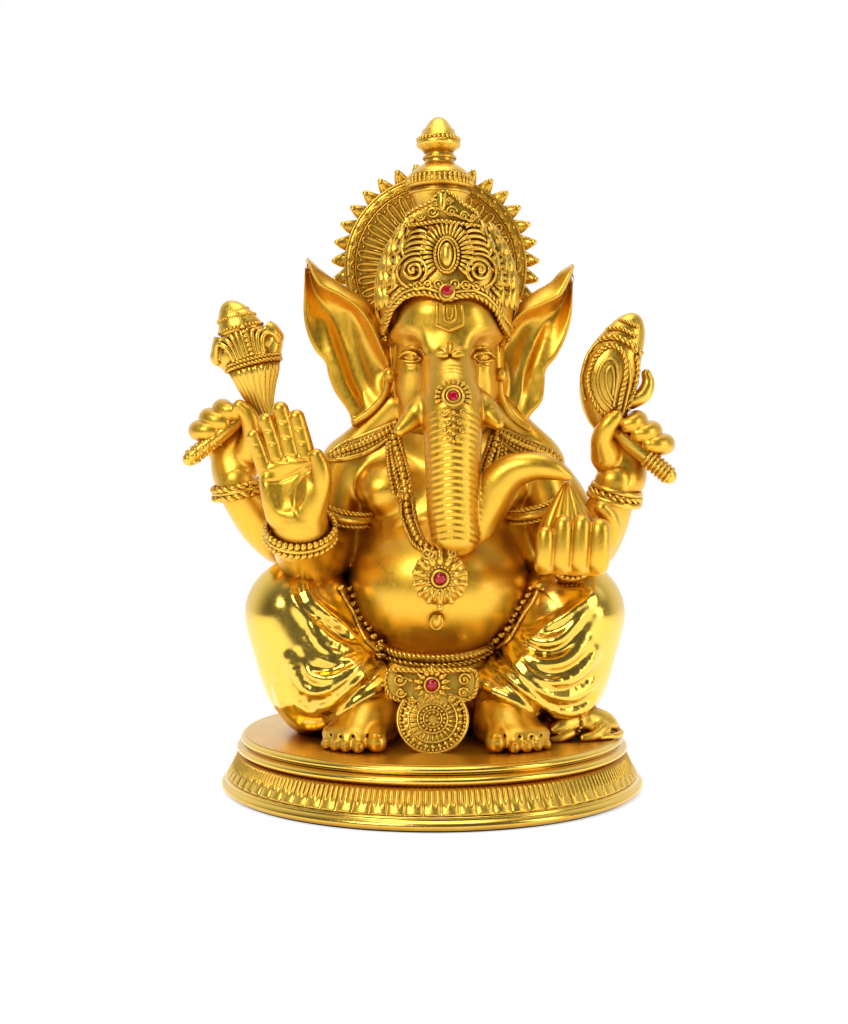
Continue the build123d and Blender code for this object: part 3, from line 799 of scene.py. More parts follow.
def sculpt_foot(side):
    """A bare foot with five toes and nails, for either side."""
    low, high = (-50, -10) if side < 0 else (12, 55)
    clay = Clay((low, -68, 22), (high, -8, 62), 0.42)
    out = 0 if side < 0 else 3.5

    def at(x, y, z, *rest):
        return (side * x + out, y, z, *rest)

    clay.run([at(23.5, -22, 49, 9.4), at(24, -26, 44, 9.6), at(26, -33, 38, 9.8),
              at(29.5, -42, 33, 9.2), at(32, -49, 29.5, 6.5)], 1)
    clay.add(ball(at(32, -43, 30), (14.5, 15, 6.4), (0, 0, side * 14)), 4)
    clay.add(ball(at(28.5, -35, 33), (12.5, 14, 11)), 5)
    clay.add(ball(at(24.5, -28, 30), (10, 11, 8)), 5)
    toes = [(23.0, -57.5, 4.5, 8.5), (30.4, -59.0, 2.7, 7.5), (35.6, -57.4, 2.5, 7.0),
            (40.2, -54.6, 2.35, 6.5), (44.2, -51.0, 2.2, 6.0)]
    for k, (x, y, r, long) in enumerate(toes):
        lean = 0.10 * k
        clay.run([at(x - lean * 9, y + long + 3, PLINTH_TOP + r + 3.4, r * 0.95),
                  at(x - lean * 3, y + long * 0.5, PLINTH_TOP + r + 1.7, r * 0.92),
                  at(x, y, PLINTH_TOP + r * 0.93, r)], 1.8)
        nail = at(x, y - r * 0.62, PLINTH_TOP + r * 1.55)
        clay.add(ball(nail, (r * 0.55, r * 0.48, r * 0.30), (-35, 0, 0)), 0.3)
    for k in range(4):
        x = (toes[k][0] + toes[k + 1][0]) / 2
        y = (toes[k][1] + toes[k + 1][1]) / 2
        clay.run([at(x, y - 2, PLINTH_TOP + 5.5, 0.5), at(x - 0.6, y + 4, PLINTH_TOP + 7.5, 0.5),
                  at(x - 1.2, y + 8, PLINTH_TOP + 9.5, 0.2)], 1.1, cut=True)
    clay.add(deck((0, -30), 60), 0.3, cut=True)
    return clay


# ---------------------------------------------------------------- hands
def sculpt_open_hand():
    """The raised right hand, its palm to the front."""
    clay = Clay((-84, -60, 104), (-36, -30, 178), 0.42)
    clay.run([(-56, -36, 112, 12.8), (-56.3, -40, 120, 11.8), (-57.5, -41.5, 130, 9.2)], 1)
    clay.add(slab((-59.5, -42, 133.5), (12.2, 5.6, 14), (-4, -9, 0), 4.6), 4)
    clay.add(ball((-50.8, -45.5, 129), (6.8, 6.2, 11.5), (0, 8, 0)), 2.4)
    clay.add(ball((-66.5, -45.2, 129.5), (4.6, 4.2, 11), (0, -14, 0)), 3)
    clay.add(ball((-58.5, -45.0, 143.5), (10.5, 3.6, 4.2), (0, -12, 0)), 2.5)
    clay.add(ball((-61, -50.4, 134), (6.0, 2.6, 8.5), (0, -10, 0)), 4.0, cut=True)
    fingers = [
        ((-52.4, 144.5), (-54.6, 154.0), (-56.9, 163.6), 4.05),
        ((-58.7, 145.5), (-61.2, 156.5), (-63.7, 166.8), 4.2),
        ((-64.6, 144.0), (-67.2, 153.5), (-69.8, 162.2), 4.0),
        ((-69.6, 139.5), (-72.3, 148.0), (-75.1, 155.6), 3.7),
    ]
    for foot, mid, tip, r in fingers:
        clay.run([(foot[0], -43.2, foot[1] - 5, r * 0.9), (foot[0], -43.6, foot[1], r),
                  (mid[0], -43.8, mid[1], r * 0.96), (tip[0], -44.4, tip[1], r * 0.84)], 0.35)
        for a, b, share in ((foot, mid, 0.15), (foot, mid, 0.85), (mid, tip, 0.45)):
            x = a[0] + (b[0] - a[0]) * share
            z = a[1] + (b[1] - a[1]) * share
            clay.run([(x - 4, -47.8, z + 0.5, 0.45), (x + 4, -47.8, z - 0.2, 0.45)], 0.5,
                     cut=True)
    clay.run([(-50, -43.5, 126, 5.6), (-46.6, -47, 135, 4.7), (-46.2, -48.6, 141.5, 4.0),
              (-48.2, -49.2, 147.4, 3.1)], 1.6)
    for line, deep in (([(-70.5, 136.5), (-64, 137), (-57.5, 140), (-51.5, 144)], 0.6),
                       ([(-53, 140.5), (-56.8, 135), (-57.6, 128), (-56, 122)], 0.6)):
        fold(clay, line, deep, 0.1, 1.4, True)
    return clay


def sculpt_holding_hand():
    """The left hand, palm up, four fingers curled up in front of the sweet."""
    clay = Clay((36, -68, 92), (86, -24, 134), 0.42)
    clay.run([(60, -33, 105.5, 8.7), (60, -40, 105, 8.2), (59, -48, 104.5, 6.5)], 1)
    clay.add(slab((58, -50, 103), (14.5, 9.5, 4.8), (0, 3, 0), 4.0), 3)
    clay.add(ball((69, -45, 107), (6, 9, 6)), 3)
    fingers = [(46.4, 117.5, 3.9, 0.6), (53.4, 123.8, 4.2, 1.0), (60.8, 124.2, 4.2, 1.2),
               (68.6, 121.5, 4.7, 0.6)]
    for x, top, r, lean in fingers:
        clay.run([(x, -52, 101.8, r), (x - 0.3, -57.4, 103.2, r * 1.02),
                  (x, -59.2, 108.5, r), (x + lean * 0.5, -58.8, (top + 106) / 2 + 3, r * 0.95),
                  (x + lean, -56.8, top - r, r * 0.86)], 0.6)
    clay.run([(70.5, -42, 108, 5.6), (74.5, -46, 115, 4.8), (74, -49, 121, 4.2),
              (70.8, -50.5, 125.4, 3.3)], 1.4)
    return clay


def sculpt_fist(side, wrist, palm, thumb, fingers):
    """A closed hand seen from its palm: thumb beside the grip, fingers curled over it."""
    x, y, z = palm
    clay = Clay((x - 26, y - 20, z - 30), (x + 26, y + 24, z + 24), 0.42)
    clay.run([(*wrist, 9.0), (x - side * 1.0, y + 4, z - 12, 10.0), (x, y + 6, z - 2, 9.0)], 1)
    clay.add(slab((x, y + 5, z + 1), (10.5, 6.5, 10.5), (0, -side * 32, 0), 4.5), 4)
    for (ax, az), (bx, bz), r in fingers:
        clay.run([(ax, y + 10, az - 1, r * 0.95), (ax - 0.2, y + 4, az + 0.6, r * 1.05),
                  (ax, y - 3, az, r * 1.08), ((ax + bx) / 2, y - 6.5, (az + bz) / 2 - 0.3, r),
                  (bx, y - 6.8, bz, r * 0.86)], 0.55)
    clay.run([(*thumb[0], 5.6), (*thumb[1], 4.7), (*thumb[2], 4.1), (*thumb[3], 3.1)], 1.6)
    clay.add(ball((thumb[0][0] + side * 2, thumb[0][1] + 3, thumb[0][2]), (6, 5.5, 9)), 5)
    return clay


# ---------------------------------------------------------------- head
def sculpt_head():
    """Skull, brows, cheeks, the ringed trunk with its curled tip, and the tusks."""
    clay = Clay((-22, -67, 98), (62, 20, 224), 0.55)
    clay.add(ball((6.5, -8, 192), (22.8, 23.5, 32)))
    clay.add(ball((6.5, -8, 179), (23.0, 22.5, 21)), 3)
    clay.add(ball((6.5, -6, 166), (21, 19, 14)), 5)
    for side in (-1, 1):
        clay.add(ball((6.5 + side * 6.5, -13.5, 207.5), (16.2, 21.5, 15.0)), 4.0)
        clay.add(ball((6.5 + side * 15.8, -36.0, 190.5), (8.0, 14.0, 9.0)), 4.0, cut=True)
        clay.add(ball((6.5 + side * 15.5, -36.0, 176), (6.0, 14.5, 12)), 5.0, cut=True)
        clay.run([(6.5 + side * 22.5, -14, 201, 2.6), (6.5 + side * 18.5, -22, 203.4, 3.2),
                  (6.5 + side * 13.5, -28, 203.0, 3.4), (6.5 + side * 9.0, -31, 199.5, 3.2),
                  (6.5 + side * 7.0, -32.5, 194.5, 3.0)], 4.0)
    clay.run([(6.8, -20, 208, 14.5), (7, -25, 198, 11.0), (7.4, -29.5, 189, 10.4),
              (7.8, -33, 181, 11.4)], 5.0)
    clay.run([(7.6, -28, 186, 11.2), (8, -37, 178, 11.6), (8.5, -43, 167, 12.6),
              (8.8, -46, 154, 12.1), (8.8, -47, 138, 11.5), (9.2, -47.5, 124, 11.2),
              (10, -47, 116, 10.8)], 3)
    clay.run([(10, -44, 117, 9.5), (17, -42.5, 119, 9.6), (23, -43, 127, 9.4),
              (28, -45, 135.5, 8.6), (34, -47, 141.0, 7.4), (42, -49.5, 143.0, 6.0),
              (50, -50.5, 141.8, 4.5), (56.4, -51, 138.8, 2.0)], 1.0)
    for k in range(3):
        z = 184.8 - 1.55 * k
        half = 5.6 + 0.4 * k
        fold(clay, [(7.8 - half, z - 1.0), (7.8, z + 0.3), (7.8 + half, z - 0.8)], 0.42, 0.2,
             0.6, True)
    # the trunk's rings, down to where it curls
    middle, pitch = 8.8, 2.75
    for k in range(20):
        z = 166.5 - pitch * k
        sweep = [(middle - 11.6, z - 4.2), (middle - 8, z - 1.7), (middle, z),
                 (middle + 8, z - 1.7), (middle + 11.6, z - 4.2)]
        fold(clay, sweep, 0.42 + 0.25 * min(1, k / 8), 0.1, 0.9, True)
    # tusks
    for root, tip, thick in (((-2.8, -38, 168.5), (-13.4, -47, 158.0), 5.2),
                             ((20.5, -37, 168.5), (27.8, -44.5, 160.8), 5.0)):
        root, tip = np.array(root, float), np.array(tip, float)
        clay.run([(*(root - (tip - root) * 0.35 + np.array([0, 3, 3])), thick * 0.8),
                  (*root, thick * 1.3), (*(root + (tip - root) * 0.28), thick * 1.2)], 1.6)
        clay.run([(*root, thick * 0.95), (*((root + tip) / 2), thick * 0.93),
                  (*tip, thick * 0.50)], 0.3)
    return clay


def to_stretch(px, pz, a, b):
    """Flat distance to the stretch from a to b, and which side of it a point is on."""
    way = b - a
    t = np.clip(((px - a[0]) * way[0] + (pz - a[1]) * way[1]) / (way @ way + 1e-9), 0, 1)
    turn = (px - a[0]) * way[1] - (pz - a[1]) * way[0]
    return np.hypot(px - a[0] - t * way[0], pz - a[1] - t * way[1]), turn


def sculpt_ear(outline, lip, low_lip, side, ridges):
    """A dished ear with a rolled lip above and a finer one below."""
    edge = smooth_line([(x, 0, z) for x, z in outline + outline[:1]], 3)[:-1, [0, 2]]
    low = (edge[:, 0].min() - (3 if side < 0 else 10), -18, edge[:, 1].min() - 3)
    high = (edge[:, 0].max() + (10 if side < 0 else 3), 16, edge[:, 1].max() + 3)
    clay = Clay(low, high, 0.55)
    rim = smooth_line([(x, 0, z) for x, z in lip], 6)[:, [0, 2]]

    def distance(x, y, z):
        px, pz = np.broadcast_arrays(x.reshape(-1, 1), z.reshape(1, -1))
        near = np.full(px.shape, 1e9)
        inside = np.zeros(px.shape, bool)
        for a, b in zip(edge, np.roll(edge, -1, 0)):
            way = b - a
            near = np.minimum(near, to_stretch(px, pz, a, b)[0])
            cross = (a[1] > pz) != (b[1] > pz)
            with np.errstate(divide="ignore", invalid="ignore"):
                hit = px < a[0] + (pz - a[1]) * way[0] / (way[1] + 1e-12)
            inside ^= cross & hit
        flat = np.where(inside, -near, near)
        lipped, sign = np.full(px.shape, 1e9), np.zeros(px.shape)
        for a, b in zip(rim, rim[1:]):
            away, turn = to_stretch(px, pz, a, b)
            sign = np.where(away < lipped, turn, sign)
            lipped = np.minimum(lipped, away)
        # inside the lip's band the surface rolls forward, elsewhere it is dished
        inner = np.clip(0.5 - lipped * np.where(sign * side > 0, -1, 1) / 1.6, 0, 1)
        band = inner * inner * (3 - 2 * inner)
        share = near / (near + lipped + 1e-6)
        dish = -4.0 - 4.5 * share + 8.5 * np.sin(np.pi * np.clip(share, 0, 1) ** 1.5)
        fold_over = -11.0 + 7.5 * (1 - share) ** 1.8
        front = dish + (fold_over - dish) * band
        soft = 1.7
        thick = 3.8 + 3.4 * band * share
        middle = (front + thick / 2)[:, None, :]
        edge_out = flat[:, None, :] + soft
        face_out = np.abs(y - middle) - thick[:, None, :] / 2 + soft
        return (np.sqrt(np.maximum(edge_out, 0) ** 2 + np.maximum(face_out, 0) ** 2) - soft
                + np.minimum(np.maximum(edge_out, face_out), 0))

    clay.add((np.array(low, float), np.array(high, float), distance), 1.0)
    root = -14.5 if side < 0 else 27.5
    clay.run([(root, -1, 208, 4.5), (root, -4, 196, 5.0), (root, -4, 184, 5.0),
              (root - side, -3, 172, 5.0), (root - side, 0, 164, 4.5)], 4.0)
    clay.run([(x, -8.6 + 0.9 * k, z + 0.6, 1.6) for k, (x, z) in enumerate(low_lip)], 2.5)
    for line, size in ridges:
        fold(clay, line, size, -0.6, 5.0)
    return clay


RIGHT_EAR = [(-55.6, 237.2), (-51.1, 232.7), (-45.3, 228.2), (-38.7, 224.0), (-31.3, 219.5),
             (-27.1, 216.2), (-23.0, 211.3), (-19.7, 205.5), (-18.4, 197.2), (-17.9, 189.0),
             (-18.5, 180.7), (-19.7, 174.1), (-24.7, 167.5), (-30.5, 163.3), (-35.9, 161.3),
             (-36.9, 166.2), (-39.6, 170.8), (-43.7, 176.6), (-46.6, 184.0), (-47.8, 189.8),
             (-52.8, 195.6), (-56.1, 203.0), (-57.7, 211.3), (-57.5, 222.0), (-56.9, 234.3)]
RIGHT_LIP = [(-55.4, 234.0), (-50.3, 223.8), (-41.7, 218.9), (-34.3, 214.0), (-28.6, 206.6),
             (-23.6, 196.0), (-20.0, 188.5)]
RIGHT_LOW_LIP = [(-19.4, 183.8), (-21.3, 174.8), (-27.4, 167.4), (-34.6, 162.6)]
LEFT_EAR = [(63.0, 234.2), (57.2, 230.5), (53.1, 226.0), (44.9, 221.1), (39.1, 216.2),
            (35.4, 211.6), (32.5, 207.1), (30.9, 203.0), (30.0, 196.4), (30.2, 189.0),
            (30.1, 180.7), (30.9, 172.4), (34.2, 165.0), (39.2, 160.0), (44.0, 158.6),
            (43.2, 161.7), (43.7, 165.4), (49.5, 172.4), (50.7, 180.7), (51.1, 186.5),
            (55.7, 192.2), (60.2, 201.3), (62.7, 211.2), (63.2, 222.7), (64.0, 231.8)]
LEFT_LIP = [(62.9, 230.6), (57.6, 219.6), (49.5, 214.7), (40.4, 210.7), (34.7, 204.1),
            (31.4, 197.6), (30.5, 191.8)]
LEFT_LOW_LIP = [(30.1, 183.0), (31.2, 173.1), (36.0, 164.5), (43.4, 159.4)]


# ---------------------------------------------------------------- plinth
def lathe(trim, at, profile, sides, bump=None):
    """Turn a z, r profile about an upright axis; bump(angle, z, r) is added to the radius."""
    turn = 2 * np.pi * np.arange(sides) / sides
    verts = []
    for z, r in profile:
        rr = r + (bump(turn, z, r) if bump else 0 * turn)
        verts.append(np.stack([at[0] + rr * np.cos(turn), at[1] + rr * np.sin(turn),
                               np.full(sides, float(z))], 1))
    rows = len(profile)
    trim.put(np.vstack(verts), quads(rows, sides) + end_faces(rows, sides)[::-1])


def arc(z0, r0, z1, r1, belly):
    """Profile points bulging out from one z, r to the next."""
    out = []
    for t in np.linspace(0, 1, 8):
        bulge = belly * math.sin(math.pi * t) ** 0.7
        out.append((z0 + (z1 - z0) * t, r0 + (r1 - r0) * t + bulge))
    return out


def build_plinth():
    """The plinth's flange, fluted band, rolls and deck, each turned from z, r points."""
    inside, low, high, ribs = 80.6, 6.0, 16.2, 22
    tall = high - low

    def fluted(turn, z, r):
        """Fine reeds above, broad flutes below, flat at both edges of the band."""
        t = (z - low) / tall
        fine = np.abs(np.cos(turn * 120)) ** 0.6
        long = np.abs(np.cos(turn * 40)) ** 0.5
        upper = 1 / (1 + math.exp(-(t - 0.42) * 30))
        ends = min(1, (1 - t) * 12, t * 10)
        return (1.5 * fine * upper + 1.35 * long * (1 - upper)) * max(ends, 0)

    flange = ([(1, inside), (1, 93.6)] + arc(1.0, 93.6, 4.6, 93.4, 1.4)
              + [(5.0, 92.6), (5.4, 92.8), (low, 92.4), (low, inside)])
    band = ([(low, inside)] + [(low + tall * k / ribs, 91.8 - 6.0 * (k / ribs) ** 0.8)
                               for k in range(ribs + 1)] + [(high, inside)])
    rolls = ([(high, inside), (high, 85.6), (16.9, 86.0)] + arc(17.0, 86.2, 20.4, 86.2, 1.8)
             + [(20.7, 85.4), (21.0, 85.0)] + arc(21.2, 84.6, 24.3, 84.4, 1.6)
             + [(24.55, 84.0), (24.55, inside)])
    deck_line = [(20.7, 0.01), (20.7, 79.5), (1.2, 80.5), (1.2, 80.9), (24.2, 80.9),
                 (24.55, 82.0), (24.7, 83.0), (24.7, 83.9), (24.5, 84.3), (24.7, 82.6),
                 (24.7, 60), (24.7, 0.01)]
    for name, profile, sides, bump, slot, paint in (
            ("plinth_flange", flange, 240, None, "bright_gold", BRIGHT),
            ("plinth_fluting", band, 1440, fluted, "bright_gold", ANTIQUE),
            ("plinth_rolls", rolls, 240, None, "bright_gold", BRIGHT),
            ("plinth_deck", deck_line, 180, None, "satin_gold", SATIN)):
        part = Trim()
        lathe(part, (0, 0), profile, sides, bump)
        write(name, part, ["plinth_shell"], slot, paint)


# ---------------------------------------------------------------- stage
def link(name, data):
    """A new object in the scene."""
    thing = bpy.data.objects.new(name, data)
    bpy.context.scene.collection.objects.link(thing)
    return thing


def build_floor():
    """A pale, softly glowing floor that is no part of the object."""
    floor = bpy.data.meshes.new("floor")
    half = 3.0  # metres
    floor.from_pydata([(-half, -half, 0), (half, -half, 0), (half, half, 0), (-half, half, 0)],
                      [], [(0, 1, 2, 3)])
    ground = link("floor", floor)
    paint = plain("paper", (0.93, 0.93, 0.93), 0.8, 0.0, 60.0, 0.02)
    set_inputs(paint.node_tree.nodes["Principled BSDF"], Emission_Color=(1, 1, 1, 1),
               Emission_Strength=0.62)
    floor.materials.append(paint)


def build_world():
    """Dim in front and bright behind for reflections, white where the camera sees it."""
    world = bpy.data.worlds.new("studio")
    bpy.context.scene.world = world
    world.use_nodes = True
    nodes, links = world.node_tree.nodes, world.node_tree.links
    back = nodes["Background"]
    place = nodes.new("ShaderNodeTexCoord")
    split = nodes.new("ShaderNodeSeparateXYZ")
    links.new(place.outputs["Generated"], split.inputs["Vector"])
    ramp = nodes.new("ShaderNodeMapRange")
    ramp.interpolation_type = "SMOOTHSTEP"
    set_inputs(ramp, From_Min=-0.35, From_Max=0.70, To_Min=0.12, To_Max=0.95)
    links.new(split.outputs["Y"], ramp.inputs["Value"])
    seen = nodes.new("ShaderNodeLightPath")
    shown = nodes.new("ShaderNodeMath")
    shown.operation = "MAXIMUM"
    links.new(ramp.outputs["Result"], shown.inputs[0])
    links.new(seen.outputs["Is Camera Ray"], shown.inputs[1])
    links.new(shown.outputs["Value"], back.inputs["Strength"])
    set_inputs(back, Color=(1, 1, 1, 1))


def build_lamp(name, at, aim, size, power):
    """A soft rectangular lamp; places and sizes are in metres."""
    data = bpy.data.lights.new(name, "AREA")
    data.shape = "RECTANGLE"
    data.size, data.size_y = size
    data.energy = power
    lamp = link(name, data)
    lamp.location = at
    lamp.rotation_euler = (Vector(aim) - Vector(at)).to_track_quat("-Z", "Y").to_euler()


def build_camera():
    """The camera that was matched to the photo, a little under half the height up."""
    away, height = 0.643, HEIGHT * MM * 0.465  # metres
    down, aside = 1.5, 0.32  # degrees
    camera = bpy.data.cameras.new("camera")
    camera.lens = 50
    camera.sensor_width = 36
    camera.clip_start = 0.01
    view = link("camera", camera)
    view.location = (0, -away, height)
    view.rotation_euler = (math.radians(90 - down), 0, math.radians(aside))
    bpy.context.scene.camera = view
    bpy.context.scene.view_settings.view_transform = "Standard"


# ---------------------------------------------------------------- ornaments
def ring_line(at, normal, radius, count=72, oval=1.0):
    """Points once round a normal, the last on the first."""
    a = 2 * np.pi * np.arange(count + 1) / count
    flat = np.stack([radius * np.cos(a), radius * oval * np.sin(a), 0 * a], 1)
    return flat @ facing(normal).T + np.array(at, float)


def bangle(at, normal, radius, rows):
    """A bangle of stacked rows; each row is shift along the normal, swell, size and kind."""
    trim = Trim()
    out = facing(normal)[:, 2]
    for shift, swell, size, kind in rows:
        line = ring_line(np.array(at) + out * shift, normal, radius + swell)
        if kind == "rope":
            trim.rope(line, size, 2.2, 2)
        elif kind == "beads":
            trim.beads(line, size, 1.75)
        else:
            trim.tube(line[:-1], size, 8, closed=True)
    return trim


def build_halo(at, radius, spike, count):
    """A dished disc: looped ribs and scallops in front, curled spikes round it, ribs behind."""
    trim = Trim()
    x0, back, z0 = at
    face_y = back - 4.8
    step = 2 * math.pi / count
    half = step * 0.24
    turn = around(204)

    def spot(r, a, y):
        return (x0 + r * math.sin(a), y, z0 + r * math.cos(a))

    def hoop(r, y, size):
        trim.tube([spot(r, a, y) for a in turn[::2]], size, 6, closed=True)

    profile = [(0, 0.02), (-0.4, 12), (-1.0, 25), (-1.6, 36), (-1.9, 37.2), (-2.9, 38.0),
               (-2.9, 41.6), (-2.0, radius), (3.2, radius), (4.4, radius - 1.5), (4.6, 20),
               (4.6, 0.02)]
    trim.put([spot(r, a, face_y + y) for y, r in profile for a in turn],
             quads(len(profile), len(turn), flip=True))
    for k in range(count):
        # a looped rib, a thin rib beside it, and the beaded scallop at their outer end
        a = (k + 0.5) * step
        legs = ((17, 1.2, 0.9), (25, 0.98, 1.5), (33.5, 0.98, 1.5))
        loop = [spot(r, a - half * wide, face_y - rise) for r, wide, rise in legs]
        loop += [spot(34.0 + 2.2 * math.sin(math.pi * t), a - half + 2 * half * t, face_y - 2.0)
                 for t in (0.25, 0.5, 0.75)]
        loop += [spot(r, a + half * wide, face_y - rise) for r, wide, rise in legs[::-1]]
        trim.tube(smooth_line(loop, 3), 0.72, 6)
        edge = a + step / 2
        trim.tube([spot(18, edge, face_y - 0.6), spot(32.5, edge, face_y - 1.4)], 0.42, 6)
        trim.bead(spot(34.6, edge, face_y - 1.9), 0.75)
        trim.tube([spot(37.6 + 1.9 * math.sin(math.pi * t), a + step * (t - 0.5), face_y - 2.7)
                   for t in np.linspace(0, 1, 7)], 0.6, 6)
        trim.bead(spot(40.4, edge, face_y - 3.0), 0.85)
        trim.bead(spot(38.0, a, face_y - 2.9), 0.6)
        # a spike that leans a little to its side, with a curl at both flanks
        b = k * step
        tip = np.array(spot(spike - 0.9, b + 0.035 * math.sin(b), face_y - 3.4))
        foot = np.array(spot(radius - 1.5, b, face_y - 0.5))
        line = smooth_line([foot, foot * 0.45 + tip * 0.55 + np.array([0, 0.6, 0]), tip], 4)
        trim.tube(line, 1.5 + 2.7 * np.linspace(1, 0, len(line)) ** 0.8, 10, flat=0.62,
                  up=(0, 1, 0))
        trim.bead(tip, 1.5)
        for side in (-1, 1):
            trim.tube([spot(radius - 1.0, b + side * step * 0.34, face_y - 2.6),
                       spot(radius + 1.6, b + side * step * 0.2, face_y - 2.5),
                       tip + (0, -0.5, 0)], [0.7, 0.7, 0.6], 6)
    hoop(radius - 0.6, face_y - 2.6, 0.8)
    hoop(36.9, face_y - 2.6, 0.45)
    for r in (14, 26, 38):
        hoop(r, back, 0.7)
    for k in range(count):
        for inner, outer, size in ((15, 25, 0.4), (27, 37, 0.6)):
            trim.tube([spot(inner, k * step, back), spot(outer, k * step, back)], size, 6)
        trim.bead(spot(40.2, k * step, back - 0.3), 0.8)
    return trim


CROWN_AT, CROWN_R = (6.5, -7.5, 218.0), (30.2, 28.0, 40.0)
BAND_LOW = [(-25.5, 199), (-22.5, 201), (-19.6, 204.6), (-16.8, 211.0), (-12.2, 215), (-7.8, 216.4),
            (-2.4, 216.4), (2.0, 215), (6.5, 213.4), (11.3, 215), (17.4, 215.6), (22.8, 213.6),
            (27.4, 209.5), (30.4, 203.6), (33.5, 200.5), (37.6, 199)]


def band_z(x):
    """Height of the crown's lower edge at x."""
    line = np.array(BAND_LOW)
    return np.interp(x, line[:, 0], line[:, 1])


def sculpt_crown():
    """The crown's dome and top, with two bosses behind it for the halo's screws."""
    clay = Clay((-28, -40, 184), (42, 30, 260), 0.75)
    clay.add(ball(CROWN_AT, CROWN_R))
    clay.run([(5, -4, 240, 15), (4.6, -3, 250, 14.5), (4.2, -2.6, 256, 11.5),
              (4, -2.5, 262, 7.5)], 3)
    clay.run([(5, 2, 228, 9), (5, 19.8, 228, 8)], 3)
    clay.run([(5, 0, 246, 8), (5, 19.8, 246, 7)], 3)
    low, high = np.array((-40.0, -50.0, 150.0)), np.array((60.0, 60.0, 230.0))

    def below(x, y, z):
        """Distance under the band's edge in front and under a level line behind."""
        back = np.clip((y + 16) / 10, 0, 1)
        return (z - (band_z(x) * (1 - back) + 196 * back)) * 0.8

    clay.add((low, high, below), 0.8, cut=True)
    return clay


def crown_shell(a, z, lift=0.0):
    """A point on the crown's dome, by angle from the front, and its outward direction."""
    (cx, cy, cz), (rx, ry, rz) = CROWN_AT, CROWN_R
    t = (z - cz) / rz
    wide = math.sqrt(max(1 - t * t, 0.01))
    p = np.array([cx + rx * wide * math.sin(a), cy - ry * wide * math.cos(a), z])
    n = np.array([(p[0] - cx) / rx ** 2, (p[1] - cy) / ry ** 2, (z - cz) / rz ** 2])
    n /= np.linalg.norm(n)
    return p + n * lift, n


def crown_band(trim):
    """The lower band: two ropes and a plain rail, dipping to the front stone."""
    cx, _, cz = CROWN_AT
    for up, size, kind in ((0.5, 1.25, "rope"), (2.6, 0.85, "tube"), (4.6, 1.15, "rope")):
        front = []
        for x in np.linspace(-21.6, 34.6, 60):
            z = float(band_z(x)) + up
            t = (z - cz) / CROWN_R[2]
            wide = CROWN_R[0] * math.sqrt(max(1 - t * t, 0.01))
            s = max(min((x - cx) / wide, 0.995), -0.995)
            front.append(crown_shell(math.asin(s), z, 0.5)[0])
        rear = [crown_shell(a, 199.5 + up, 0.5)[0]
                for a in np.linspace(1.35, 2 * math.pi - 1.35, 60)]
        for line in (front, rear):
            trim.tube(line, size, 8) if kind == "tube" else trim.rope(line, size, 2.0, 2)


def crown_petals(trim):
    """Rows of petals on the crown's sides and back, under a rope."""
    for row in range(6):
        z = 205.0 + 7.4 * row
        count = 36 - 3 * row
        for k in range(count):
            a = 2 * math.pi * (k + 0.5 * (row % 2)) / count
            if a > math.pi:
                a -= 2 * math.pi
            if abs(a) < 0.62 + 0.02 * row:
                continue
            at, n = crown_shell(a, z, 0.1)
            on_band = at[1] < -12 and z < band_z(at[0]) + 5
            behind_halo = at[1] > 13
            if on_band or behind_halo:
                continue
            out = np.array([math.sin(a), -math.cos(a), 0.9])
            trim.petal(at, facing(n, out), 9.2, 5.0 - 0.15 * row, 2.0, 0.3)
            trim.tube([at + n * 1.7, crown_shell(a, z + 6.8, 1.9)[0]], 0.45, 5)
    trim.rope([crown_shell(a, 248.0, 0.3)[0] for a in np.linspace(0, 2 * math.pi, 60)], 1.0, 2.0)


def crown_boss(trim, clay):
    """The oval boss in its frame, with rays round it."""
    boss = lowest([clay], 6.3, 233.0)
    axes = facing((0, -1, 0.12))
    trim.dome(boss + (0, 0.2, 0), axes, 5.4, 2.6, oval=1.50)
    trim.bead(boss + (0, -2.8, 0), (2.5, 5.4, 2.2), axes, fine=True)
    trim.ringlet(boss + (0, -2.5, 0), axes, 3.5, 0.55, 44, oval=1.85)
    trim.ringlet(boss + (0, -1.9, 0), axes, 4.9, 0.8, 30, beaded=True, oval=1.55)
    rays = 25
    for k in range(rays):
        a = math.radians(-128 + 256 * k / (rays - 1))
        inner = boss[[0, 2]] + np.array([5.6 * math.sin(a), 8.2 * math.cos(a)])
        outer = boss[[0, 2]] + np.array([10.6 * math.sin(a), 13.6 * math.cos(a)])
        p, q = lowest([clay], *inner, 1.0), lowest([clay], *outer, 1.0)
        trim.tube(smooth_line([p, (p + q) / 2 + (0, -0.7, 0), q], 3),
                  [0.45, 0.6, 0.72, 0.82, 0.88, 0.92, 0.8], 6)
        trim.bead(q + (0, -0.3, 0), 0.95)


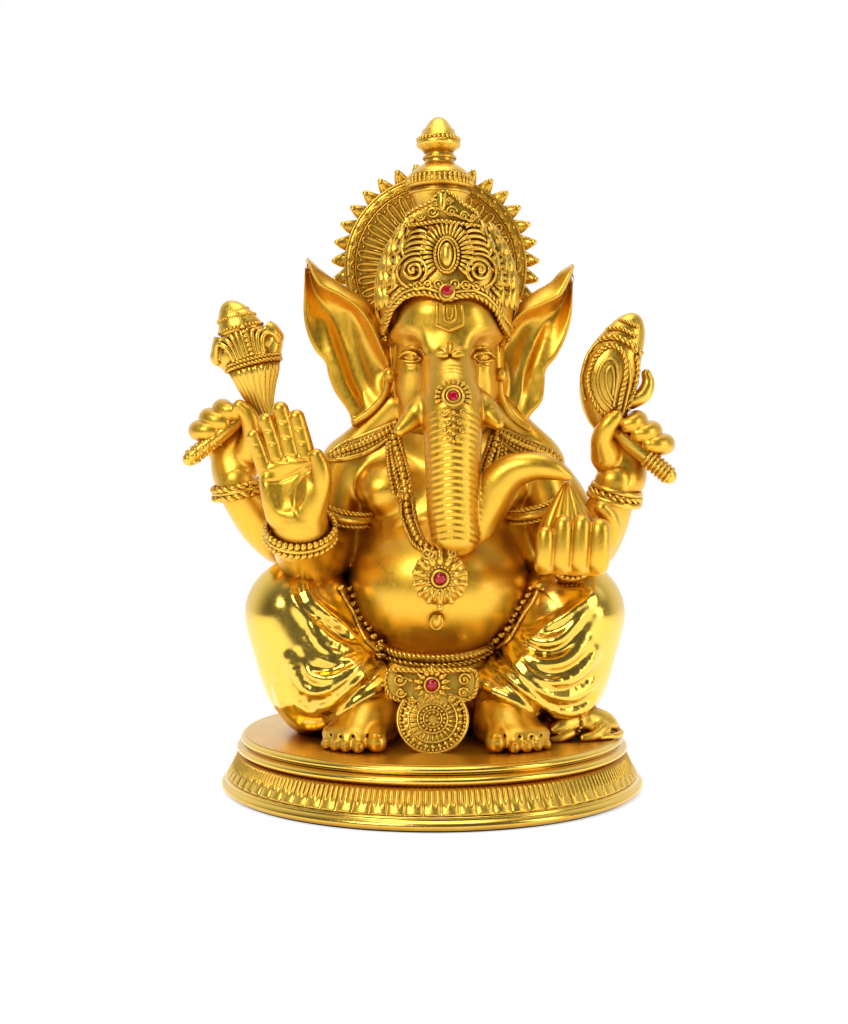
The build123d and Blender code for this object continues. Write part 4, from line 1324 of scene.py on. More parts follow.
def crown_side(trim, clay, side):
    """A volute, stacked ribs, short rays and three rings beside the boss."""
    cx, cz = 6.3 + side * 13.4, 226.6

    def on(x, z, lift):
        return lowest([clay], x, z, lift)

    spiral = []
    for t in np.linspace(0, 1, 34):
        a = side * (math.radians(-150) + 4.0 * math.pi * t)
        r = 5.6 * (1 - 0.82 * t)
        spiral.append(on(cx + r * math.sin(a), cz + r * math.cos(a), 1.2 + t))
    trim.tube(spiral, np.linspace(1.0, 0.7, len(spiral)), 6)
    trim.bead(on(cx, cz, 1.9), 1.2)
    trim.tube([on(cx + side * 7.3 * math.cos(a), cz + 7.3 * math.sin(a), 1.0)
               for a in np.linspace(-1.3, 2.0, 16)], 0.7, 6)
    for k in range(5):
        middle = cx - side * 0.6 - side * 0.25 * k
        wide, z = 9.6 - 0.55 * k, 233.8 + 2.7 * k
        trim.tube([on(middle + wide * 0.5 * math.cos(a) * side, z + 2.3 * math.sin(a), 1.0)
                   for a in np.linspace(0.15, math.pi - 0.15, 9)],
                  [0.4, 0.7, 0.85, 0.95, 1.0, 0.95, 0.85, 0.7, 0.4], 6)
    near, far = 8.2, 8.2 + 10.6 * 0.62
    for k in range(9):
        a = math.radians(28 + 13.5 * k)
        (px, pz), (qx, qz) = ((cx + side * r * math.sin(a), cz + r * math.cos(a) - 1)
                              for r in (near, far))
        if qz < band_z(qx) + 3:
            continue
        p, q = on(px, pz, 0.8), on(qx, qz, 0.8)
        trim.tube([p, (p + q) / 2 + (0, -0.6, 0), q], [0.8, 1.05, 0.8], 6)
    for k in range(3):
        at = on(6.3 + side * (3.4 + 4.4 * k), 220.4 - 0.2 * k, 1.0)
        trim.ringlet(at, facing((side * 0.2 * k, -1, 0.1)), 1.7, 0.55, 16)
        trim.bead(at + (0, -0.5, 0), 0.8)


def build_crown(clay):
    """All the relief on the crown's dome, with fine beads between and the stone's seat."""
    trim = Trim()
    crown_band(trim)
    crown_petals(trim)
    crown_boss(trim, clay)
    for side in (-1, 1):
        crown_side(trim, clay, side)
    for a, z in scattered(220, (-1.0, 221), (2.0, 26), (0.61803, 0.3819), 0.13):
        p, _ = crown_shell(a, z, 0.15)
        if p[2] > band_z(p[0]) + 6.5:
            trim.bead(p, 0.72)
    trim.ringlet((6.3, -37.0, 217.0), facing((0, -1, 0)), 3.0, 0.75, 24)
    trim.dome((6.3, -35.6, 217.0), facing((0, -1, 0)), 3.6, 1.4)
    return trim


def plate(trim, line, middle, deep):
    """A plate fanned from its middle to its edge line, with a skirt going back."""
    n = len(line)
    trim.put(np.vstack([line, [middle]]),
             [(n, k + 1, k) for k in range(n - 1)] + [(n, 0, n - 1)])
    trim.put(np.vstack([line, line + (0, deep, 0)]), quads(2, n, closed=False))


def build_tier():
    """The ribbed ring and pointed front plate over the crown."""
    trim = Trim()
    cx, cy = 4.3, -5.0
    lathe(trim, (cx, cy), [(245.0, 15.5), (246.0, 16.8), (247.4, 16.9), (248.2, 15.9),
                           (253.6, 15.4), (254.2, 16.4), (255.4, 16.3), (256.4, 15.0),
                           (258.5, 11.5), (259.5, 9.0)], 72)
    for a in around(46):
        x, y = math.sin(a), -math.cos(a)
        trim.tube([(cx + 16.0 * x, cy + 16.0 * y, 248.4),
                   (cx + 15.7 * x, cy + 15.7 * y, 253.6)], 0.62, 6)
    edge = [(-11.9, 248.6), (-11.5, 251.6), (-6.5, 254.6), (-1.2, 256.8), (1.2, 259.3),
             (5.3, 261.8), (10.2, 259.5), (12.9, 256.8), (18.4, 253.4), (20.2, 251.0),
             (19.8, 248.2)]

    def bulge(x, z):
        return -23.2 - 4.4 * (1 - ((x - cx) / 17) ** 2) + 0.25 * (z - 250)

    line = np.array([(x, bulge(x, z), z) for x, z in edge])
    plate(trim, line, (4.2, bulge(4.2, 252) - 0.4, 252.4), 6.5)
    trim.rope(smooth_line(line[1:-1], 4), 1.0, 2.0)
    under = smooth_line([(-11.6, bulge(-11.6, 247) - 0.2, 247.4), (-4, bulge(-4, 247), 247.6),
                         (4.2, bulge(4.2, 247) - 0.6, 248.4), (12, bulge(12, 247), 247.4),
                         (20, bulge(20, 247) - 0.2, 247.0)], 4)
    trim.rope(under, 0.95, 2.0)
    for side in (-1, 1):
        for x, z, r in ((4.0, 252.6, 2.6), (9.4, 250.9, 2.1), (3.0, 257.0, 1.7),
                        (13.4, 250.2, 1.4)):
            px = cx + side * x
            trim.scroll((px, bulge(px, z) - 0.7, z), facing((side * 0.15, -1, 0)), r, 1.6, 0.55,
                        side)
    for x, z in scattered(70, (-9, 248.8), (27, 9.5)):
        if z < np.interp(x, *np.transpose(edge[1:-1])) - 1.2:
            trim.bead((x, bulge(x, z) - 0.4, z), 0.62)
    trim.petal((cx, bulge(cx, 254) - 0.9, 253.2), facing((0, -1, 0.1)), 7.4, 3.8, 1.4, 0.6)
    return trim


def build_finial():
    """A bell, a fringed pot, a beaded ring and a stepped knob, each turned from z, r points."""
    trim = Trim()
    cy = -2.6
    bell = [(253.5, 9.6), (257.5, 10.4), (261, 11.6), (263.2, 12.4), (264.4, 13.2),
            (265.4, 13.2), (266.0, 12.5), (267.0, 13.0)]
    pot = [(266.8, 13.0), (267.4, 14.2), (268.2, 14.7), (271.0, 14.5), (272.0, 13.9),
           (273.4, 13.3), (275.0, 12.0), (276.4, 10.2), (277.6, 8.2), (278.4, 7.0),
           (279.4, 6.6), (280.2, 6.7), (281.4, 6.9), (282.4, 6.4), (283.6, 6.2)]
    knob = [(283.2, 6.3), (284.6, 7.4), (286.0, 9.4), (286.9, 9.9), (288.0, 9.7),
            (288.5, 9.0), (289.8, 8.7), (290.6, 8.5), (291.4, 7.7), (293.3, 7.2),
            (293.9, 6.3), (296.0, 5.0), (297.6, 3.7), (298.8, 2.1), (299.4, 0.4)]
    for cx, profile in ((3.6, bell), (3.4, pot), (2.9, knob)):
        lathe(trim, (cx, cy), profile, 72)
    for a in around(40):
        x, y = math.sin(a), math.cos(a)
        top = (3.4 + 14.5 * x, cy + 14.5 * y, 271.2)
        trim.tube([top, (3.4 + 14.6 * x, cy + 14.6 * y, 268.2)], [0.95, 0.8], 6)
        trim.bead(top, 1.05)
    for a in around(30):
        trim.bead((2.9 + 9.1 * math.sin(a), cy + 9.1 * math.cos(a), 289.1), 0.95)
    for radius, z, size in ((13.1, 265.0, 0.8), (13.7, 272.6, 0.5), (7.0, 281.0, 0.7)):
        trim.tube(ring_line((3.4, cy, z), (0, 0, 1), radius)[:-1], size, 6, closed=True)
    return trim


def build_necklace(body):
    """Beaded strands down both sides of the trunk, meeting at the pendant."""
    trim = Trim()
    right = [(-17.5, 158), (-14.5, 146), (-12, 134), (-10.4, 124), (-8.2, 116), (-4.2, 109.5),
             (3.4, 106)]
    left = [(29, 157), (25.5, 146), (22.5, 135), (20, 125), (16.4, 116.5), (11, 109.5), (3.4, 106)]
    for line in (right, left):
        trim.beads(laid([body], line, 1.5), 1.75, 1.8)
        for shift in (-2.7, 2.7):
            trim.rope(laid([body], [(x + shift, z - 0.5) for x, z in line], 1.0), 0.85, 2.2)
    rear = [behind([body], x, 157 - 0.012 * (32**2 - (x - 6) ** 2), 0.4)
            for x in np.linspace(-24, 36, 36)]
    trim.beads(rear, 1.75, 1.8)
    return trim


def build_strands(body):
    """Three finer strands on each side, ending in a small rosette."""
    trim = Trim()
    for k in range(3):
        trim.beads(laid([body], [(-17 - 1.5 * k, 158 - k), (-16 - 1.6 * k, 146 - k),
                                 (-13 - 2 * k, 136 - 2 * k)], 1.0), 1.05, 1.9)
        trim.beads(laid([body], [(30 + 1.5 * k, 158 - k), (28.5 + 1.6 * k, 146 - k),
                                 (25 + 2 * k, 136 - 2 * k)], 1.0), 1.05, 1.9)
    for x, lean in ((-13.0, -0.25), (24.5, 0.25)):
        trim.rosette(lowest([body], x, 133.5, 1.2), (lean, -1, 0.1), 4.6, 1.2)
    return trim


PENDANT_AT, PENDANT_WAY = np.array((3.4, -53.2, 96.5)), (0, -1, -0.04)


def build_pendant():
    """A rosette with rounded petals, two volutes over it and a drop under it."""
    trim = Trim()
    at, axes = PENDANT_AT, facing(PENDANT_WAY)
    trim.dome(at + (0, 2.4, 0), axes, 11.6, 3.0)
    trim.ringlet(at + (0, -1.4, 0), axes, 3.2, 0.8, 32)
    trim.ringlet(at + (0, -0.8, 0), axes, 4.8, 0.7, 22, beaded=True)
    for along in spokes(axes, 14):
        trim.petal(at + along * 5.2 + (0, 0.2, 0), facing(PENDANT_WAY, along), 5.4, 3.6, 1.5)
        trim.bead(at + along * 10.6 + (0, 0.9, 0), 1.45)
        trim.bead(at + along * 8.6 + (0, -1.2, 0), 0.6)
    for side in (-1, 1):
        trim.scroll(at + (side * 5.2, 0.2, 10.4), facing((side * 0.2, -1, 0.2)), 2.6, 1.5, 0.7,
                    side)
    trim.bead(at + (0, 0.4, -12.2), (1.5, 1.4, 1.8))
    return trim


def build_belt(body, legs):
    """The beaded cords down the belly's sides and the rope belt between them."""
    trim = Trim()
    everything = [body] + legs
    right = [(-38.5, 92), (-36, 87), (-32.5, 81), (-29.5, 74), (-26, 68.5), (-21, 64)]
    left = [(44.5, 93), (42.5, 87.5), (38.5, 81.5), (35, 75.5), (31.5, 70), (26, 65)]
    for line, shift in ((right, -2.1), (left, 2.1)):
        points = laid(everything, line, 1.0, 3.1)
        for k, p in enumerate(points):
            size = 1.15 + 0.75 * k / len(points)
            trim.bead(p, (size * 1.1, size, size * 0.85))
            trim.bead(p + (0.9, -size * 0.5, 0.7), size * 0.55)
        trim.tube(laid(everything, [(x + shift, z - 1.4) for x, z in line], 0.5), 0.8, 6)
    hang = [(-24, 64.5), (-12, 61.2), (2, 60.2), (16, 61.4), (27, 65)]
    trim.rope(laid(everything, hang, 1.2), 1.9, 1.7, 3)
    trim.rope(laid(everything, [(x, z - 3.4) for x, z in hang], 1.0), 1.25, 2.0, 2)
    for drop, size in ((0, 1.9), (3.4, 1.25)):
        rear = [behind(everything, x, 76 - drop, 0.6) for x in np.linspace(-40, 44, 44)]
        trim.rope(rear, size, 2.0, 3)
    return trim


def build_apron():
    """The patterned plate with its rosette under the belt."""
    trim = Trim()

    def bulge(x, z):
        return -46.2 - 2.6 * (1 - (x / 20) ** 2) + 0.06 * (z - 50)

    edge = [(-18.5, 57.6), (-19.6, 52), (-17.2, 46.2), (-11, 44.2), (-6, 42.0), (0, 41.2),
            (6, 42.0), (11, 44.2), (17, 46.2), (19, 52), (18, 57.6)]
    line = smooth_line([(x, bulge(x, z), z) for x, z in edge], 4)
    plate(trim, line, (0, bulge(0, 51) - 0.6, 51.5), 4.5)
    trim.rope(line, 1.0, 2.0)
    for side in (-1, 1):
        for x, z, r in ((13.5, 53.6, 2.7), (13.0, 48.2, 2.2), (8.2, 45.4, 1.6)):
            trim.scroll((side * x, bulge(x, z) - 0.9, z), facing((side * 0.25, -1, 0)), r, 1.6,
                        0.65, side)
            trim.bead((side * x, bulge(x, z) - 1.6, z), 0.8)
    for x, z in scattered(60, (-17, 44.5), (34, 12)):
        on_plate = (x / 18) ** 2 + ((z - 51) / 8.5) ** 2 < 1
        if on_plate and math.hypot(x, z - 51.5) > 8:
            trim.bead((x, bulge(x, z) - 0.5, z), 0.65)
    trim.rope([(x, bulge(x, 57.4) - 0.8, 57.6 - 0.012 * (18 - abs(x))) for x in
               np.linspace(-18, 17.6, 12)], 1.1, 2.0)
    return trim


def build_flower(at, normal, radius, petals):
    """A rosette with a stone seat and rounded petals."""
    trim = Trim()
    axes = facing(normal)
    at = np.array(at, float)
    out = axes[:, 2]
    trim.dome(at - out * 1.6, axes, radius * 0.92, 1.8)
    trim.ringlet(at + out * 1.0, axes, 3.0, 0.65, 28)
    for along in spokes(axes, petals):
        trim.petal(at + along * 3.6, facing(out, along), radius - 3.9,
                   2 * math.pi * radius / petals * 0.85, 1.4)
        trim.bead(at + along * (radius - 0.5), 0.85)
    return trim


def build_medallion():
    """A round patterned cloth end that leans from the belt down to the plinth."""
    trim = Trim()
    at, axes = np.array((0.3, -52.0, 37.5)), facing((0, -0.90, 0.44))
    out = axes[:, 2]
    trim.dome(at - out * 1.3, axes, 14.6, 1.6, 6, 64)
    for radius, size, count in ((2.6, 0.8, 9), (5.0, 0.8, 18), (13.6, 0.85, 52)):
        trim.ringlet(at + out * 0.9 * (1 - (radius / 15) ** 3), axes, radius, size, count,
                     beaded=True)
    for radius, size in ((3.8, 0.45), (6.3, 0.5), (10.2, 0.5), (14.6, 0.7)):
        trim.ringlet(at + out * 0.7 * (1 - (radius / 15) ** 3), axes, radius, size, 60)
    for along in spokes(axes, 26):
        trim.petal(at + along * 6.7 + out * 0.35, facing(out, along), 3.3, 1.3, 0.6)
        trim.petal(at + along * 10.6 + out * 0.1, facing(out, along), 2.6, 2.0, 0.6)
    return trim


def build_collar(body, top, low):
    """A leaf-shaped shoulder ornament: beads and flowers between two rims."""
    trim = Trim()
    upper = laid([body], top, 0.9, 0.8)
    under = laid([body], low, 0.9, 0.8)
    trim.tube(upper, 1.0, 8)
    trim.tube(under, 1.0, 8)
    count, cols = 26, 5

    def along(line, t):
        """The point a share t of the way along a line."""
        k = t * (len(line) - 1)
        i = min(int(k), len(line) - 2)
        return line[i] + (line[i + 1] - line[i]) * (k - i)

    sheet = np.array([[along(upper, t) * (1 - s) + along(under, t) * s
                       for s in np.linspace(0, 1, cols)] for t in np.linspace(0, 1, count)])
    normal = body.normal(sheet[count // 2, cols // 2])
    sheet[:, 1:-1] += normal * 0.5
    trim.put(sheet.reshape(-1, 3), quads(count, cols, closed=False))
    for t in np.linspace(0.06, 0.94, 17):
        a, b = along(upper, t), along(under, t)
        wide = np.linalg.norm(b - a)
        trim.bead((a + b) / 2 + normal * 0.9, min(1.55, 0.24 * wide))
        for s in (0.22, 0.78):
            trim.bead(a + (b - a) * s + normal * 0.7, min(0.8, 0.12 * wide))
    return trim


TRUNK_FLOWER = (8.8, 171.5)  # x and z of the trunk's rosette


def build_trunk_ornament(head):
    """A small rosette with a fan of petals and a hanging filigree."""
    trim = Trim()
    cx, cz = TRUNK_FLOWER
    at = lowest([head], cx, cz, 0.6)
    axes = facing(head.normal(at) * (0, 1, 1))
    out = axes[:, 2]
    trim.dome(at - out * 1.2, axes, 4.6, 1.9)
    trim.ringlet(at + out * 0.9, axes, 2.7, 0.6, 24)
    trim.ringlet(at + out * 0.5, axes, 4.2, 0.75, 32)
    for k in range(13):
        a = math.radians(-108 + 18 * k)
        p = lowest([head], cx + 6.7 * math.sin(a), cz + 6.6 * math.cos(a), 0.7)
        q = lowest([head], cx + 4.9 * math.sin(a), cz + 4.9 * math.cos(a), 0.6)
        trim.tube([q, p], [0.6, 0.85], 6)
        trim.bead(p, 1.0)
    for side in (-1, 1):
        for dx, dz, r in ((3.6, -6.6, 1.5), (2.4, -10.4, 1.3), (3.4, -14.2, 1.5),
                          (1.7, -17.2, 1.1)):
            spot = lowest([head], cx + side * dx, cz + dz, 0.7)
            trim.scroll(spot, facing(head.normal(spot)), r, 1.4, 0.5, side)
            trim.bead(spot, 0.6)
    for dz, r in ((-6.5, 1.1), (-9.2, 0.9), (-12.0, 1.0), (-15.0, 1.1), (-18.0, 0.9),
                  (-20.2, 0.7)):
        trim.bead(lowest([head], cx, cz + dz, 0.7), r)
    trim.tube(laid([head], [(cx, 166), (cx, 158), (cx, 151)], 0.4), 0.5, 6)
    return trim


def build_brow_marks(head):
    """The raised shield with its U on the forehead, and a small lotus under it."""
    trim = Trim()
    shield = [(2.2, 211.5), (2.0, 207), (1.8, 203.2), (7.6, 200.6), (13.2, 203.4), (13.0, 207),
              (12.6, 211.5)]
    trim.tube(laid([head], shield, 0.6, 0.6, 1), 0.75, 6)
    inner = [(5.2, 211.6), (5.0, 206.8), (5.9, 204.9), (7.6, 204.2), (9.3, 204.9),
             (10.1, 206.8), (9.9, 211.6)]
    trim.tube(laid([head], inner, 0.7, 0.6), 0.62, 6)
    core = [(6.5, 210.8), (6.5, 207.4), (7.6, 205.9), (8.7, 207.4), (8.6, 210.8)]
    trim.tube(laid([head], core, 0.6, 0.5), 0.5, 6)
    # the shield's face, its lowest row drawn down to a point
    rows, across = 8, (1.9, 4.7, 7.6, 10.4, 13.1)
    sheet = []
    for k in range(rows + 1):
        for x in across:
            point = 2.4 * (1 - abs(x - 7.6) / 5.8) if k == 0 else 0
            sheet.append(lowest([head], x, 203.0 + 8.6 * k / rows - point, 0.5))
    trim.put(sheet, quads(rows + 1, len(across), closed=False))
    foot = lowest([head], 7.6, 189.0, 0.4)
    normal = head.normal(foot)
    for a, long in ((-70, 3.6), (-35, 4.3), (0, 4.8), (35, 4.3), (70, 3.6)):
        t = math.radians(a)
        way = np.array([math.sin(t), 0, math.cos(t)])
        trim.petal(foot + way * 0.8, facing(normal, way), long * 1.45, 3.0, 1.7, 0.5)
    return trim


def build_eyes(head):
    """Almond eyes with heavy lids, brow folds and pupils."""
    trim = Trim()
    for side in (-1, 1):
        cx, cz = 6.5 + side * 15.3, 191.0

        def line(points, lift, size):
            """A raised line over the face, thinner at its ends."""
            flat = [(cx + side * dx, cz + dz) for dx, dz in points]
            path = laid([head], flat, lift, None, 5)
            thick = size * (0.35 + 0.65 * np.sin(np.pi * np.linspace(0.08, 0.92, len(path))))
            trim.tube(path, thick, 8)

        ball_at = lowest([head], cx, cz, 0.0)
        axes = facing((side * 0.30, -1, -0.05))
        trim.bead(ball_at + (0, 0.6, 0), (3.9, 2.5, 2.4), axes, fine=True)
        trim.bead(ball_at + (side * 0.1, -1.4, -0.1), (1.5, 1.5, 0.6), axes, fine=True)
        trim.ringlet(ball_at + (side * 0.1, -1.6, -0.1), axes, 1.6, 0.22, 24)
        line([(4.9, -0.6), (3.0, 1.5), (0.4, 2.0), (-2.4, 1.1), (-5.0, -1.8)], 1.2, 0.9)
        line([(4.7, -0.9), (2.2, -2.2), (-1.0, -2.5), (-4.9, -1.9)], 0.7, 0.6)
        line([(5.6, 1.0), (3.4, 3.4), (0.2, 4.1), (-3.6, 2.7), (-5.8, -0.4)], 0.2, 0.6)
        line([(3.8, -3.6), (0.6, -4.4), (-3.2, -3.8)], -0.1, 0.45)
    return trim


def grip_rod(trim, stations, near, far):
    """The round handle through a fist; gives its line and its direction at the end."""
    line = smooth_line(stations, 6)
    trim.tube(line, np.linspace(near, far, len(line)), 14)
    trim.bead(line[-1], far)
    way = line[-1] - line[-6]
    return line, way / np.linalg.norm(way)


def build_emblem_right():
    """A fluted cup, a band, flared curling ribs and a stepped cap."""
    trim = Trim()
    foot, top = np.array((-75.5, -8.5, 172.0)), np.array((-83.5, -7.0, 205.0))
    up = (top - foot) / np.linalg.norm(top - foot)
    axes = np.stack([np.cross((0, 1, 0), up), (0, 1, 0), up], 1)
    axes[:, 0] /= np.linalg.norm(axes[:, 0])
    axes[:, 1] = np.cross(up, axes[:, 0])

    def at(x, y, z):
        return foot + axes @ np.array((x, y, z), float)

    def turned_part(profile, flat=0.72, sides=48, bump=None):
        """Turn z, r and shift points about the emblem's own axis, flattened front to back."""
        verts = [at((r + (bump(a) if bump else 0)) * math.cos(a) + shift,
                    (r + (bump(a) if bump else 0)) * math.sin(a) * flat, z)
                 for z, r, shift in profile for a in around(sides)]
        rows = len(profile)
        trim.put(verts, quads(rows, sides) + end_faces(rows, sides))

    cup = [(-10, 4.0, 0.5), (-6, 4.2, 0), (-3, 4.6, -0.6), (0, 5.4, -0.8), (6, 7.6, -0.6),
           (12, 10.0, 0), (17, 11.4, 0)]
    turned_part(cup, bump=lambda a: 0.7 * abs(math.cos(11 * a)), sides=132)
    turned_part([(16.2, 11.4, 0), (16.6, 12.5, 0), (18.6, 12.6, 0), (19.0, 11.6, 0)])
    for z in (16.8, 18.6):
        trim.rope([at(12.4 * math.cos(a), 9.2 * math.sin(a), z)
                   for a in np.linspace(0, 2 * math.pi, 50)], 0.9, 2.0)
    turned_part([(18.5, 10.6, 0), (24, 10.6, -0.8), (30, 10.8, -1.2), (34, 9.2, -1.4)])
    # ribs that flare from the band and curl over at both sides
    for front in (-1, 1):
        for k in range(9):
            s = k / 8 * 2 - 1
            reach = abs(s) ** 1.5
            tall = 13.5 - 4.2 * reach
            line = [at(6.6 * s - 0.4, front * 7.8, 19.0),
                    at(7.4 * s - 0.8, front * 8.4, 19 + tall * 0.55),
                    at(9.2 * s - 1.2, front * 8.0, 19 + tall * 0.9),
                    at(11.6 * s - 1.2, front * 6.2, 19 + tall),
                    at(13.8 * s - 1.0, front * 4.2, 19 + tall - (3.2 - 1.2 * s) * reach),
                    at(14.2 * s - 0.8, front * 3.4, 19 + tall - (6.4 - 1.4 * s) * reach)]
            if abs(s) < 0.5:
                line = line[:4]
            trim.tube(smooth_line(line, 4), 1.15, 8)
        for k in range(7):
            trim.bead(at(1.2 - 0.2 * k, front * 8.9, 20.5 + 2.1 * k), (1.5, 1.3, 1.0))
    # the big curls at both sides
    for side, x, drop in ((-1, -13.6, 2.5), (1, 11.6, 0)):
        trim.tube(smooth_line([at(x * 0.6, 0, 18.5), at(x * 0.8, 0, 23), at(x * 0.9, 0, 28 - drop),
                               at(x * 0.72, 0, 31)], 5), 5.2, 12)
        trim.bead(at(x * 1.02, 0, 26.6 - drop), (4.4, 4.2, 4.6), fine=True)
        trim.bead(at(x * 0.66, 0, 26 - drop), (6.4, 6.4, 7.0), axes, fine=True)
        trim.scroll(at(x, -3.6, 26.4 - drop), facing((0.1 * side, -1, 0)), 3.4, 1.2, 0.9,
                    -side)
    cap = [(31, 9.2, -1.6), (33, 9.8, -1.8), (35.5, 9.6, -2.0), (37.5, 8.8, -2.3),
           (39.5, 8.4, -2.6), (41.5, 7.2, -3.0), (44, 5.8, -3.5), (46.2, 3.8, -4.0),
           (47.3, 1.6, -4.3)]
    turned_part(cap, 0.8)
    for z, r, shift, size in ((34.0, 9.7, -1.9, 0.9), (39.0, 8.5, -2.6, 0.7)):
        trim.beads([at(r * math.cos(a) + shift, r * 0.8 * math.sin(a), z)
                    for a in np.linspace(0, 2 * math.pi, 40)], size, 1.9)
    line = [at(6.5 * math.cos(a) - 3.2, 5.4 * math.sin(a), 41 + 1.2 * math.cos(a))
            for a in np.linspace(0, 2 * math.pi, 40)]
    trim.rope(line, 0.7, 2.0)
    # the handle below the hand, studded towards its end
    line, way = grip_rod(trim, [(-80, -10, 168), (-90, -13, 160), (-99, -14.5, 153),
                                (-107, -15, 146.5)], 3.6, 3.3)
    across = np.cross(way, (0, 1, 0))
    last = len(line) - 1
    for k in range(40):
        t = (0.55 + 0.43 * k / 39) * last
        a = 2.4 * k
        p = line[min(int(t), last)] + way * (t % 1) * 1.3
        trim.bead(p + across * 3.2 * math.cos(a) + np.cross(way, across) * 3.2 * math.sin(a),
                  0.95)
    return trim


def build_emblem_left():
    """A curved leaf with rope outlines, a wound cap and a side hook."""
    trim = Trim()
    clay = Clay((60, -22, 148), (104, 8, 214), 0.6)
    spine = [(80.5, -8, 160, 6.0), (77.5, -8, 168, 9.0), (77.2, -8, 177, 11.0),
             (79.5, -8, 187, 12.0), (83.5, -7.5, 196, 9.8), (87, -7, 203, 7.2),
             (89.5, -6.5, 208, 3.4)]
    for x, y, z, r in smooth_line(spine, 4):
        clay.add(ball((x, y, z), (r, r * 0.72, r * 0.9), (0, 12, 0)), 2.0)
    clay.run([(89, -7, 172, 3.4), (94, -7, 175, 3.6), (96.4, -6.5, 180, 3.0),
              (95.6, -6.5, 184.5, 2.2)], 2.0)
    verts, faces = clay.mesh()
    trim.put(verts, faces.tolist())

    def loop(points, lift, size, kind="rope"):
        """A rope or a plain line laid over the leaf."""
        line = laid([clay], points, lift)
        if kind == "rope":
            trim.rope(line, size, 1.8, 2)
        else:
            trim.tube(line, size, 6)

    loop([(79.5, 163), (72.5, 170), (69.0, 180), (71.5, 190), (77.5, 196), (83.5, 193.5),
          (85.0, 185), (83.0, 175), (81.5, 166)], 0.6, 1.25)
    loop([(79.6, 168), (74.5, 174), (72.8, 182), (75.5, 189), (79.5, 190), (81.3, 184),
          (80.4, 175), (79.6, 169)], 0.5, 0.7, "tube")
    loop([(79.4, 172), (76.8, 178), (76.4, 184), (78.6, 187), (79.8, 182), (79.2, 174)], 0.5,
         0.65, "tube")
    loop([(68.0, 172), (66.6, 182), (69.6, 193), (76.5, 200), (84.5, 199), (90.0, 193)], 0.3,
         0.9, "tube")
    loop([(90.0, 192), (90.4, 184), (88.6, 176), (86.0, 168)], 0.5, 1.3)
    loop([(85.8, 190), (87.0, 182), (85.4, 173), (83.5, 165)], 0.5, 0.8, "tube")
    loop([(74.5, 199), (81, 199.6), (87, 197), (92, 192.5)], 0.7, 1.4)
    loop([(78, 204), (84, 203.4), (90, 200)], 0.6, 1.0)
    loop([(83, 208), (87, 206.5), (91, 204.5)], 0.5, 0.8)
    line, way = grip_rod(trim, [(79, -9, 161), (88, -12.5, 153), (97, -14.5, 145.5),
                                (104.5, -15, 139)], 3.7, 3.6)
    for k in range(7):
        ring = ring_line(line[-1] - way * (0.5 + 2.0 * k), way, 3.7, 24)
        trim.tube(ring[:-1], 0.75, 6, closed=True)
    return trim


def build_modak():
    """The pointed sweet with its twelve pleats."""
    trim = Trim()
    profile = [(-12, 4), (-9, 8.5), (-5, 11.2), (0, 11.6), (4, 10.4), (8, 8.4), (12, 6.0),
               (16, 3.6), (19, 1.9), (20.6, 0.5)]
    lathe(trim, (56.5, -48.5), [(115.8 + z, r) for z, r in profile], 120,
          lambda turn, z, r: 0.9 * np.abs(np.cos(turn * 6)) * min(1, r / 5))
    return trim


def sculpt_mouse():
    """The small animal lying by the left knee, facing the figure's right."""
    clay = Clay((46, -42, 22), (86, -4, 44), 0.5)
    clay.run([(60, -24, 31, 6.0), (67, -22, 31.5, 7.0), (75, -19, 30, 5.8), (80, -17, 28, 3.0)],
             1.0)
    clay.run([(61, -26, 32, 5.4), (56, -30, 31, 4.2), (52.2, -33, 29.4, 1.9)], 2.0)
    for dx, dy in ((0, 0), (3.8, 2.8)):
        clay.add(ball((59.5 + dx, -29.5 + dy, 36.2), (2.2, 1.2, 2.4), (0, 0, 30)), 0.6)
        clay.add(ball((59.3 + dx, -30.5 + dy, 36.2), (1.4, 0.7, 1.5), (0, 0, 30)), 0.4, cut=True)
    clay.run([(60, -32, 28, 2.2), (55, -35, 26.4, 1.8), (51.5, -36, 26.0, 1.4)], 0.8)
    clay.run([(74, -26, 28.5, 4.0), (70, -31, 26.8, 2.4), (65, -33.5, 26.2, 1.6)], 1.0)
    clay.run([(79, -16, 27.5, 1.7), (83, -20, 26.4, 1.5), (80, -27, 26.2, 1.4),
              (73, -31.5, 26.0, 1.1)], 0.6)
    clay.add(ball((56.2, -32.6, 32.4), 0.9), 0.3)
    clay.add(deck((66, -20), 40, 10.7), 0.3, cut=True)
    return clay


def build_mouse_collar():
    """A ring of beads round the mouse's neck."""
    trim = Trim()
    trim.beads(ring_line((61.5, -25.5, 32), (-0.8, -0.5, 0.1), 5.9), 1.0, 1.8)
    return trim


def build_ear_studs():
    """A round stud in a ring at the front of each ear root."""
    trim = Trim()
    for at in ((-18.6, -12.5, 183.7), (30.6, -12.5, 183.6)):
        trim.bead(at, (2.6, 2.4, 3.0), fine=True)
        trim.ringlet(at, facing((0.0, -1, 0)), 2.7, 0.6, 20)
    return trim


def build_ear_pins():
    """The steel pins from the head into the ear roots."""
    trim = Trim()
    for inner, outer in ((-10, -17.5), (22, 29)):
        trim.tube([(inner, -6, 186), (outer, -5, 186)], 2.0, 24)
    return trim


def build_navel_drop():
    """A small petal under a ring at the navel."""
    trim = Trim()
    axes = facing((0, -1, -0.1))
    trim.petal((2, -45.0, 75.4), axes, 5.0, 3.6, 1.3, 0.6)
    trim.ringlet((2, -44.8, 77.2), axes, 2.5, 0.55, 24, oval=1.15)
    return trim


